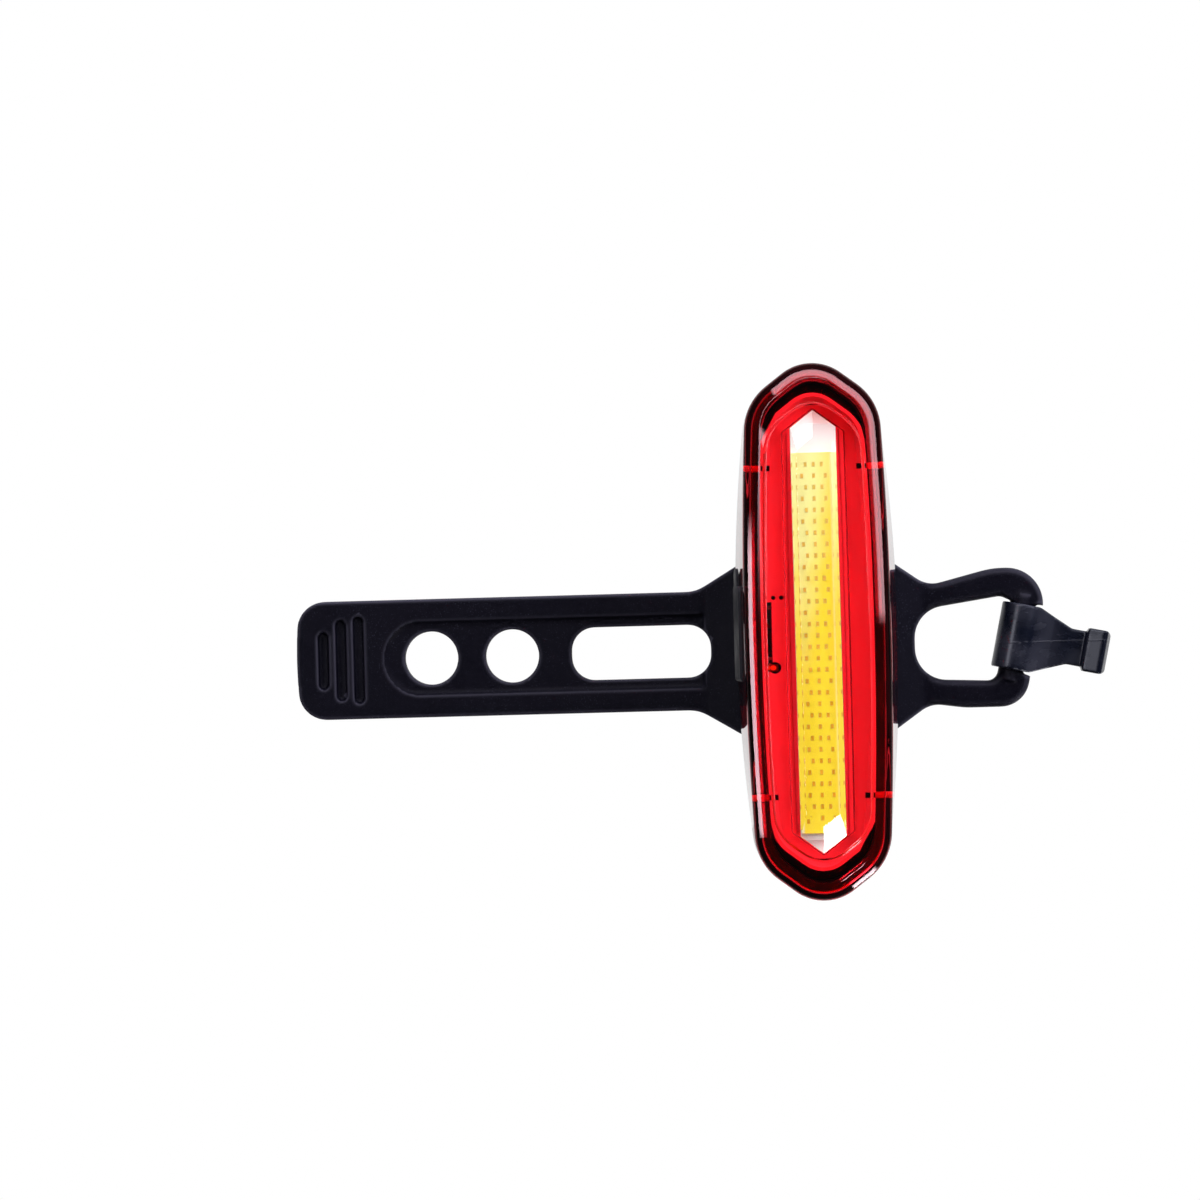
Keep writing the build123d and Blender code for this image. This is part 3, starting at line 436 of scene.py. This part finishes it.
bowl = [back_ring(h) for h in 1 - np.cos(np.linspace(0.0, math.pi / 2, 18))]
bowl += eased(
    [
        lamp_ring(lens_gap, lens_base, base_flare),
        lamp_ring(groove_outside, lens_base, base_flare),
        lamp_ring(groove_outside, groove_floor, base_flare),
        lamp_ring(groove_inside, groove_floor, base_flare),
        lamp_ring(groove_inside, lens_base, base_flare),
        lamp_ring(collar_outside, lens_base),
        lamp_ring(collar_outside, collar_top),
        lamp_ring(collar_inside, collar_top),
        lamp_ring(collar_inside, case_floor),
    ],
    [0, 0.06, 0, 0, 0.06, 0, 0.25, 0.25, 0],
)[1:]

# The round boss with its two lugs, and the posts for the board's screws
lock_end, boss_radius, lug_reach, lug_radius, lug_front = 2.4, 4.57, 4.87, 0.55, 3.7
boss = [
    circle_ring(0, 0, boss_radius, case_back + 0.3),
    circle_ring(0, 0, boss_radius, lock_end + 0.25),
    circle_ring(0, 0, boss_radius - 0.22, lock_end),
]
lug_edge = 0.1
lug = [
    bar_ring(lug_reach, lug_radius - lug_edge, lug_front),
    bar_ring(lug_reach, lug_radius, lug_front - lug_edge),
    bar_ring(lug_reach, lug_radius, lock_end + lug_edge),
    bar_ring(lug_reach, lug_radius - lug_edge, lock_end),
]
post_radius, post_foot, post_top = 2.1, 8.8, 15.5
post_places = ((0, -24.7), (5, 18.7))
posts = [
    lofted([circle_ring(x, z + lamp_rise, post_radius, d, 40) for d in (post_foot, post_top)])
    for x, z in post_places
]
rear_case = piece_from("rear_case_shell", lofted(bowl), lofted(boss), lofted(lug), *posts)

# The button's hole, the socket's opening and the slots for the lens's ribs
button_z, hole_radius = 26.5 + lamp_rise, 4.15
button_hole = [
    circle_ring(0, button_z, hole_radius + 0.15, case_back - 0.3),
    circle_ring(0, button_z, hole_radius, case_back + 0.2),
    circle_ring(0, button_z, hole_radius, case_floor + 0.3),
]
socket_depth, opening_depth, opening_height, opening_end = 17.8, 1.65, 4.15, 4
well_outside = 14
socket_opening = block(
    (-well_outside, -socket_depth - opening_depth, lamp_rise - opening_height),
    (-opening_end, -socket_depth + opening_depth, lamp_rise + opening_height),
)
rib_height, slot_half, slot_floor = 23.0, 0.55, 19.1
rib_slots = [
    block(
        (-well_outside, -collar_top - 0.6, lamp_rise + z - slot_half),
        (well_outside, -slot_floor, lamp_rise + z + slot_half),
    )
    for z in (rib_height, -rib_height)
]
cut(rear_case, lofted(button_hole), socket_opening, *rib_slots)
smooth(rear_case, 32)
case_plastic = Finish("case_black", Specular_IOR_Level=0.45)
grain = case_plastic.noise(0.16, 2.0)
rub = case_plastic.noise(6.0, 4.0, stretch=(1, 1, 0.3))
rubbed = rub.ramp(0.35, 0.7)
case_plastic.set(
    Base_Color=case_plastic.mix(rubbed, (0.0075, 0.0072, 0.0080), (0.014, 0.013, 0.015)),
    Roughness=rub.ramp(0.35, 0.75, 0.30, 0.46),
)
case_plastic.bump(grain, 0.02)
dressed(rear_case, case_plastic, "case_black", "lamp", "rear_case")

# Inside the case: a soft ring seals the joint, a pouch cell lies on a foam pad on the floor,
# and thin leads run up to the board and to the light strip.
seal_rubber = Finish("seal_rubber", Roughness=0.7, Specular_IOR_Level=0.3)
seal_dust = seal_rubber.noise(0.5, 3.0)
seal_rubber.set(Base_Color=seal_rubber.mix(seal_dust, (0.012, 0.012, 0.014), (0.035, 0.034, 0.038)))
seal_rubber.bump(seal_dust, 0.02)


def finished(node, finish):
    """Gives a CAD node whose shape stays a better material on its object's own slots."""
    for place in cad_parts[node].material_slots:
        place.link = "OBJECT"
        place.material = finish.material


finished("seal_ring", seal_rubber)

foam = Finish("foam", Roughness=0.95)
pores = foam.node("TexVoronoi", inputs={"Vector": foam.place, "Scale": 2200.0})
foam.set(Base_Color=foam.mix(pores.ramp(0.1, 0.6), (0.02, 0.02, 0.022), (0.09, 0.09, 0.095)))
foam.bump(pores, 0.1)
finished("battery_foam_pad", foam)

foil = Finish("battery_foil", Metallic=1.0)
crease = foil.noise(7.0, 5.0, stretch=(1, 1, 0.35))
foil.set(
    Base_Color=foil.mix(crease, (0.50, 0.51, 0.53), (0.72, 0.73, 0.75)),
    Roughness=crease.between(0.22, 0.42),
)
foil.bump(crease, 0.15)
finished("battery_cell", foil)


def wire_finish(name, dark, light):
    """Coloured silicone insulation with a faint bloom along it."""
    made = Finish(name, Roughness=0.45)
    bloom = made.noise(1.5, 3.0)
    made.set(Base_Color=made.mix(bloom, dark, light), Roughness=bloom.between(0.36, 0.52))
    made.bump(bloom, 0.02)
    return made


red_wire = wire_finish("lead_red", (0.36, 0.008, 0.008), (0.52, 0.02, 0.016))
black_wire = wire_finish("lead_black", (0.010, 0.010, 0.011), (0.025, 0.025, 0.027))
for lead in ("battery_lead", "led_lead"):
    finished(lead + "_red", red_wire)
    finished(lead + "_black", black_wire)

# Main board: black glass-epoxy, screwed to two posts. It carries the controller and charger
# chips, a row of resistors and capacitors, the charging light and the switch on its back.
board = Finish("board_black", Specular_IOR_Level=0.5)
weave_x = (board.axis("X") * 9.0).maths("SINE")
weave_z = (board.axis("Z") * 9.0).maths("SINE")
weave = weave_x * weave_z * 0.5 + 0.5
solder_mask = board.noise(3.0, 3.0)
board.set(
    Base_Color=board.mix(solder_mask, (0.006, 0.007, 0.008), (0.014, 0.016, 0.018)),
    Roughness=solder_mask.between(0.24, 0.38),
)
board.bump(weave, 0.012)
finished("circuit_board", board)

steel = Finish("screw_steel", Metallic=1.0)
turned = steel.noise(0.4, 3.0)
steel.set(
    Base_Color=steel.mix(turned, (0.42, 0.42, 0.43), (0.62, 0.62, 0.63)),
    Roughness=turned.between(0.25, 0.42),
)
steel.bump(turned, 0.01)
finished("board_screws", steel)


def small_part(name, dark, light, roughness, *parts):
    """A moulded or fired body with fine mottling, for the board's small parts."""
    made = Finish(name)
    mottle = made.noise(0.35, 3.0)
    made.set(
        Base_Color=made.mix(mottle, dark, light),
        Roughness=mottle.between(roughness - 0.06, roughness + 0.08),
    )
    made.bump(mottle, 0.015)
    for part in parts:
        finished(part, made)


chips = ("controller_chip", "charger_chip")
small_part("chip_black", (0.010, 0.010, 0.011), (0.022, 0.022, 0.024), 0.5, *chips)
small_part("resistor_black", (0.012, 0.012, 0.013), (0.03, 0.03, 0.03), 0.4, "chip_resistors")
small_part("capacitor_tan", (0.30, 0.19, 0.11), (0.42, 0.28, 0.17), 0.45, "chip_capacitors")
small_part("switch_black", (0.012, 0.012, 0.013), (0.024, 0.024, 0.026), 0.42, "tact_switch_body")
small_part("plunger_white", (0.70, 0.70, 0.68), (0.80, 0.80, 0.78), 0.4, "tact_switch_plunger")
small_part("tongue_black", (0.012, 0.012, 0.013), (0.03, 0.03, 0.032), 0.4, "usb_tongue")

indicator = Finish("indicator_orange", Emission_Strength=1.6)
glowing = indicator.noise(0.3, 2.0)
indicator_x, indicator_z = -5.65, lamp_rise - 4.9
lit = indicator.away_from(indicator_x, indicator_z).ramp(0.22, 0.42, 1.0, 0.0)
indicator.set(
    Base_Color=indicator.mix(glowing, (0.55, 0.07, 0.01), (0.70, 0.14, 0.02)),
    Emission_Color=indicator.mix(lit, (0.02, 0.002, 0.001), (1.0, 0.42, 0.04)),
    Roughness=glowing.between(0.15, 0.28),
)
indicator.bump(glowing, 0.01)
finished("indicator_led", indicator)

# Push button: a crowned cap of black silicone that fills the hole in the case's back, with a
# raised ring to find it by, and a finely textured skin.
button = merged_copy("push_button", "push_button_cap")


def softened(piece, width, segments):
    """Bevels a piece's sharp edges by this many millimetres and shades it smooth."""
    sharp = 40.0
    limit = {"limit_method": "ANGLE", "angle_limit": math.radians(sharp)}
    applied(piece, ("BEVEL", {"width": width / 1000, "segments": segments, **limit}))
    smooth(piece, sharp)


softened(button, 0.22, 3)
button_rubber = Finish("button_rubber", Specular_IOR_Level=0.35)
ring_radius = 2.2
from_ring = (button_rubber.away_from(0, button_z) - ring_radius).maths("ABSOLUTE")
ring_line = from_ring.ramp(0.12, 0.32, 1.0, 0.0)
button_skin = button_rubber.noise(0.15, 2.0)
handled = button_rubber.noise(2.2, 3.0)
paler = handled * 0.6 + ring_line * 0.3
button_rubber.set(
    Base_Color=button_rubber.mix(paler, (0.016, 0.016, 0.018), (0.05, 0.05, 0.055)),
    Roughness=handled.between(0.5, 0.66),
)
button_rubber.bump(button_skin * 0.15 + ring_line, 0.12)
dressed(button, button_rubber, "button_rubber", "button", "push_button")

# Charging socket: a drawn nickel-plated shell with a black tongue inside. Its top is painted
# black as shade, where it lies deep in the dark slot. A rubber flap closes its opening in the
# left wall, hinged at the lower end, with a plug behind and a pull tab at the upper end.
plated = Finish("socket_steel")
drawn = plated.noise(0.5, 3.0, stretch=(0.2, 1, 1))
# Painted shade: the shell's top turns black and not metallic, as it lies deep in the slot.
painted_shade_top = (plated.axis("Y") * -1).ramp(19.02, 19.06)
nickel = plated.mix(drawn, (0.55, 0.54, 0.52), (0.72, 0.71, 0.69))
plated.set(
    Base_Color=plated.mix(painted_shade_top, nickel, (0.006, 0.006, 0.007)),
    Roughness=drawn.between(0.2, 0.34),
    Metallic=1 - painted_shade_top,
)
plated.bump(drawn, 0.01)
finished("usb_shell", plated)

cover = merged_copy("usb_cover", "usb_cover_flap")
softened(cover, 0.18, 3)
cover_rubber = Finish("cover_rubber", Specular_IOR_Level=0.12)
cover_skin = cover_rubber.noise(0.14, 2.0)
cover_cloud = cover_rubber.noise(3.0, 3.0)
cover_rubber.set(
    Base_Color=cover_rubber.mix(cover_cloud, (0.006, 0.006, 0.009), (0.018, 0.017, 0.022)),
    Roughness=cover_cloud.between(0.5, 0.64),
)
cover_rubber.bump(cover_skin, 0.02)
dressed(cover, cover_rubber, "cover_rubber", "cover", "usb_cover")

# Reflector tray: gloss white polycarbonate. It scatters the light up through the red lens, so
# it gives the lens its even colour, and the black case shows beyond its ends.
tray_white = Finish("tray_white", Specular_IOR_Level=0.4)
tray_cloud = tray_white.noise(8.0, 3.0)
tray_white.set(
    Base_Color=tray_white.mix(tray_cloud, (0.90, 0.90, 0.89), (0.95, 0.95, 0.94)),
    Roughness=tray_cloud.between(0.32, 0.42),
)
tray_white.bump(tray_cloud, 0.03)
finished("reflector_tray", tray_white)

# Light strip: a white board with staggered rows of orange dies under one bar of yellow phosphor
# gel, which is paler at its top end and its edges. Two short leads feed it through the tray.
strip_white = Finish("strip_board_white", Roughness=0.35)
board_cloud = strip_white.noise(2.5, 3.0)
strip_white.set(Base_Color=strip_white.mix(board_cloud, (0.78, 0.79, 0.80), (0.88, 0.88, 0.88)))
strip_white.bump(board_cloud, 0.01)
finished("led_board", strip_white)

phosphor = Finish("phosphor_yellow")
along = phosphor.axis("Z") - lamp_rise
across = phosphor.axis("X")
deepening = (along * -1 + across * 5.0 + phosphor.noise(5.0, 3.0) * 14.0 - 7.0).ramp(-27.0, 2.0)
gel = phosphor.mix(deepening, (0.80, 0.79, 0.30), (0.80, 0.61, 0.008))
thin_edge = across.maths("ABSOLUTE").ramp(2.05, 2.5)
gel = phosphor.mix(thin_edge * 0.8, gel, (0.90, 0.86, 0.60))
grit = phosphor.noise(0.10, 2.0)
phosphor.set(
    Base_Color=phosphor.mix(grit.ramp(0.45, 0.75, 0.0, 0.16), gel, (0.86, 0.80, 0.26)),
    Roughness=grit.between(0.3, 0.42),
)
phosphor.bump(grit, 0.03)
finished("led_phosphor", phosphor)

dies = Finish("die_orange", Roughness=0.35)
facet = dies.noise(0.3, 2.0)
dim = dies.mix(facet, (0.62, 0.26, 0.002), (0.68, 0.33, 0.006))
paling = (dies.axis("Z") - lamp_rise).ramp(-14.0, 26.0, 0.0, 0.6)
dies.set(Base_Color=dies.mix(paling, dim, (0.76, 0.60, 0.14)))
dies.bump(facet, 0.02)
finished("led_chips", dies)

# Window: a polished clear acrylic bar with bevelled sides and two facets at each end. A flange
# behind holds it in the lens, right over the light strip.
bar_length, bar_width, flange_width = 61.4, 6.3, 8.1
flange_back, flange_front, facet_start, bar_front = 23.4, 24.32, 26.35, 27.3
face_length, face_width = 53.8, 4.7


def hexagon(length, width, depth):
    """The window's outline with its pointed ends, as points in mm."""
    shoulder = length / 2 - width / 2 * math.tan(flank)
    x = np.array([width / 2, width / 2, 0, -width / 2, -width / 2, 0])
    z = np.array([-shoulder, shoulder, length / 2, shoulder, -shoulder, -length / 2])
    return placed(np.column_stack([x, z]), depth)


window_rings = eased(
    [
        hexagon(bar_length, flange_width, flange_back),
        hexagon(bar_length, flange_width, flange_front),
        hexagon(bar_length, bar_width, flange_front),
        hexagon(bar_length, bar_width, facet_start),
        hexagon(face_length, face_width, bar_front),
        hexagon(face_length - 1.8, face_width - 0.9, bar_front),
    ],
    [0, 0.05, 0, 0.06, 0.06, 0],
    steps=2,
)
window = piece_from("light_window_bar", lofted(window_rings))
smooth(window, 12)
clear = Finish("clear_window", Transmission_Weight=1.0, IOR=1.49)
polish = clear.noise(12.0, 2.0)
clear.set(
    Base_Color=clear.mix(polish, (0.985, 0.985, 0.98), (1.0, 1.0, 1.0)),
    Roughness=polish.between(0.0, 0.02),
)
clear.bump(polish, 0.01)
dressed(window, clear, "clear_window", "lamp", "light_window")
window.visible_shadow = False

# Front lens: deep red polycarbonate about 1.2 mm thick. Its skirt slips over the collar and
# rolls over a rounded rim and a bevel into a ledge, and a low crowned dome on the ledge carries
# the window in a slot. Four short ribs inside the skirt snap into the case.
lens_wall, rim, bevel, ledge, ceiling = 1.2, 22.6, 23.7, 24.4, 23.55
rim_inset, ledge_inset, ceiling_inset, wall_top = 0.75, 2.1, 2.5, 22.88
dome_edge, crown = 25.5, 0.8
dome_size = {
    "length": 63.0,
    "width": 14.4,
    "shoulder_width": 13.07,
    "shoulder_round": 5.9,
    "tip_round": 4.7,
}


def crowned(ring):
    """Lays a ring on the crown: depth = edge + crown (1 - (x/a)^2) (1 - (z/b)^2), where a and b
    are half the dome's width and length."""
    x, z = ring[:, 0], ring[:, 2] - lamp_rise
    fall_x = np.clip(1 - (2 * x / dome_size["width"]) ** 2, 0, 1)
    fall_z = np.clip(1 - (2 * z / dome_size["length"]) ** 2, 0, 1)
    return np.column_stack([x, -(dome_edge + crown * fall_x * fall_z), ring[:, 2]])


def pocket_ring(length, width, depth):
    """A hexagon like the window's, its corners and sides rounded a trace, as points in mm."""
    bulge, corner_round = 0.02, 0.12
    return placed(barrel(length, width, width - bulge, corner_round, corner_round), depth)


def drawn_over(t, start, pull, end):
    """A value on a curve: (1-t)^2 start + 2t(1-t) pull + t^2 end."""
    return (1 - t) ** 2 * start + 2 * t * (1 - t) * pull + t**2 * end


# Rings over the skirt, rim, ledge and dome, down through the slot and back along the inside
slot = pocket_ring(bar_length + 0.08, bar_width + 0.08, ledge)
slot_top = crowned(slot)
dome = crowned(outline_ring(dome_size, 0, 0))
dome_foot = outline_ring(dome_size, -0.3, ledge + 0.15)
skirt = eased(
    [
        lamp_ring(lens_wall, lens_base, base_flare),
        lamp_ring(0, lens_base, base_flare),
        lamp_ring(0, rim),
    ],
    [0, 0.2, 0],
)
round_rim = [
    lamp_ring(drawn_over(t, 0, 0, rim_inset), drawn_over(t, rim, 23.23, bevel))
    for t in np.linspace(0, 1, 12)
]
slope = [
    lamp_ring(drawn_over(t, rim_inset, 1.39, ledge_inset), drawn_over(t, bevel, 24.1, ledge))
    for t in np.linspace(0, 1, 7)
]
step = eased(
    [slope[-2], slope[-1], dome_foot, dome, crowned(dome * 0.9 + slot_top * 0.1)],
    [0, 0.12, 0.12, 0.4, 0],
)
shares = np.linspace(0.1, 1.0, 9)[1:-1]
crown_rings = [crowned(dome * (1 - share) + slot_top * share) for share in shares]
mouth = eased([crown_rings[-1], slot_top, slot], [0, 0.1, 0])[1:]
inner = eased(
    [
        slot,
        pocket_ring(bar_length + 0.4, flange_width + 0.4, ledge),
        pocket_ring(bar_length + 0.6, flange_width + 0.6, ceiling),
        lamp_ring(ceiling_inset, ceiling),
        lamp_ring(lens_wall, wall_top),
        lamp_ring(lens_wall, lens_base, base_flare),
    ],
    [0, 0.1, 0.15, 0.3, 0.3, 0],
)[1:]
lens_rings = skirt + round_rim[1:] + slope[1:-1] + step[1:] + crown_rings + mouth + inner[:-1]
lens = piece_from("front_lens_shell", lofted(lens_rings, closed=True))

# The shallow recess for the socket's cover, square to the sloping left wall
draft = base_flare / (rim - lens_base)
outward = np.array([-1, -draft, 0]) / math.hypot(1, draft)
along_wall = np.array([draft, -1, 0]) / math.hypot(1, draft)
wall_x = lamp_size["width"] / 2 + draft * (rim - socket_depth)
recess_middle = np.array([-wall_x, -socket_depth, lamp_rise])
recess_depth, half_width, half_height = 0.75, 2.55, 6.85
recess = []
for reach in (-recess_depth, 3.0):
    level = recess_middle + outward * reach
    corners = [(-1, -1), (1, -1), (1, 1), (-1, 1)]
    ring = [level + along_wall * half_width * a + (0, 0, half_height * b) for a, b in corners]
    recess.append(np.array(ring))
cut(lens, lofted(recess), socket_opening)
smooth(lens, 30)
red = Finish("red_lens", Transmission_Weight=1.0, IOR=1.55, Specular_Tint=(1.0, 0.66, 0.74))
tint = red.noise(14.0, 2.0)
handling = red.noise(3.5, 4.0)
red.set(
    Base_Color=red.mix(tint, (0.98, 0.017, 0.029), (1.0, 0.023, 0.038)),
    Roughness=handling.ramp(0.45, 0.8, 0.015, 0.06),
)
red.bump(tint, 0.02)
dressed(lens, red, "red_lens", "lamp", "front_lens")
lens.visible_shadow = False

# The four snap ribs, which show as pale red dashes across the dark rim
rib_start, rib_end, rib_half = 7.0, 9.5, 0.42
rib_back, rib_front = 19.2, 21.42
rib_ends = []
for rib_z in (lamp_rise - rib_height, lamp_rise + rib_height):
    for left_x in (-rib_end, rib_start):
        rib_low = (left_x, -rib_front, rib_z - rib_half)
        rib_high = (left_x + rib_end - rib_start, -rib_back, rib_z + rib_half)
        rib_ends.append(block(rib_low, rib_high))
ribs = piece_from("front_lens_snap_ribs", *rib_ends)
softened(ribs, 0.1, 2)
# The ribs glow faintly: painted light standing in for the light that the red plastic carries into
# them.
rib_red = Finish("rib_red", Roughness=0.3, Emission_Strength=0.08)
rib_mottle = rib_red.noise(0.4, 2.0)
rib_colour_and_glow = rib_red.mix(rib_mottle, (0.46, 0.03, 0.035), (0.58, 0.06, 0.06))
rib_red.set(Base_Color=rib_colour_and_glow, Emission_Color=rib_colour_and_glow)
rib_red.bump(rib_mottle, 0.02)
dressed(ribs, rib_red, "red_lens", "lamp")

# Studio: a surround that is white behind and dark in front, so that the gloss parts keep their
# depth. Its narrow softboxes show only in reflections, two area lights do the lighting, and a
# pale paper floor lies far behind the hanging light.
world = bpy.data.worlds.new("studio")
world.use_nodes = True
bpy.context.scene.world = world
bpy.context.scene.view_settings.view_transform = "Standard"
studio = Nodes(world.node_tree, "Generated")
surround = studio.tree.nodes["Background"]
surround.inputs["Color"].default_value = (1, 1, 1, 1)

# The surround's brightness by the direction of a ray: a gradient, and the highlights on it
front = studio.axis("Y") * -1
rise = studio.axis("Z")
right = studio.axis("X")
reflected = studio.node("LightPath", output="Is Glossy Ray")
refracted = studio.node("LightPath", output="Is Transmission Ray")
camera_seen = studio.node("LightPath", output="Is Camera Ray")
gradient = front.ramp(-0.75, 0.1, 0.95, 0.03)
upper_softbox = front.band(0.42, 0.45, 0.585, 0.635) * rise.ramp(0.0, 0.012)
upper_softbox = upper_softbox * (rise * 0.56 + right * 0.83).ramp(-0.02, 0.0)
left_lamp = front.band(0.76, 0.82, 0.90, 0.94) * rise.ramp(0.0, 0.09)
left_lamp = left_lamp * (rise * 0.9 - right).ramp(0.1, 0.3)
left_strip = front.band(0.40, 0.43, 0.545, 0.565) * rise.band(-0.125, -0.1, 0.035, 0.06)
left_strip = left_strip * right.ramp(-0.5, -0.4, 1.0, 0.0)
low_strip = front.band(-0.3, -0.2, 0.30, 0.38) * (right - rise).ramp(0.5, 0.7)
low_strip = low_strip * (right * 0.8 + rise * 0.6).band(-0.03, -0.015, 0.1, 0.2)
spot = (right * 0.357 + front * 0.79 - rise * 0.499).ramp(0.9955, 0.9965)
mirrored = upper_softbox * 7 + left_lamp * 8 + left_strip * 14 + low_strip * 22 + spot * 30
seen_sharp = gradient * (1 - refracted * 0.5) + mirrored * reflected
ambient = 0.6
lighting = (seen_sharp - ambient) * reflected.maths("MAXIMUM", refracted) + ambient
strength = (1 - lighting) * camera_seen + lighting
studio.feed(surround.inputs["Strength"], strength)

floor_radius, floor_behind, floor_height, floor_corners = 0.95, 1.05, -0.13, 64
floor_turn = np.arange(floor_corners) * 2 * math.pi / floor_corners
floor_places = np.column_stack(
    [
        floor_radius * np.cos(floor_turn),
        floor_behind + floor_radius * np.sin(floor_turn),
        np.full(floor_corners, floor_height),
    ]
)
floor_mesh = bpy.data.meshes.new("floor")
floor_mesh.from_pydata(floor_places, [], [list(range(floor_corners))])
floor = bpy.data.objects.new("floor", floor_mesh)
bpy.context.scene.collection.objects.link(floor)
paper = Finish("floor_paper", Roughness=0.9)
fibre = paper.noise(3.0, 3.0)
paper.set(Base_Color=paper.mix(fibre, (0.86, 0.86, 0.86), (0.9, 0.9, 0.9)))
glow = paper.node("Emission", inputs={"Color": (1.0, 1.0, 1.0, 1.0), "Strength": 1.0})
is_seen = paper.node("LightPath", output="Is Camera Ray")
lit_paper = Value(paper, paper.shader.outputs[0])
mixed = paper.node("MixShader", inputs={0: is_seen, 1: lit_paper, 2: glow})
paper.tree.links.new(mixed.socket, paper.tree.nodes["Material Output"].inputs["Surface"])
floor_mesh.materials.append(paper.material)


def softbox(name, place, target, width, height, power):
    """A rectangular area light that faces its target and shows in no reflection."""
    data = bpy.data.lights.new(name, "AREA")
    data.shape = "RECTANGLE"
    data.size, data.size_y, data.energy = width, height, power
    made = bpy.data.objects.new(name, data)
    made.location = place
    made.rotation_euler = (Vector(target) - Vector(place)).to_track_quat("-Z", "Y").to_euler()
    made.visible_camera = False
    made.visible_glossy = False
    made.visible_transmission = False
    bpy.context.scene.collection.objects.link(made)


softbox("softbox_right", (0.42, -0.10, 0.262), (0, -0.02, 0.262), 0.42, 0.52, 6.1)
softbox("softbox_top", (0.05, -0.10, 0.52), (0.05, -0.02, 0.0), 0.74, 0.42, 7.8)
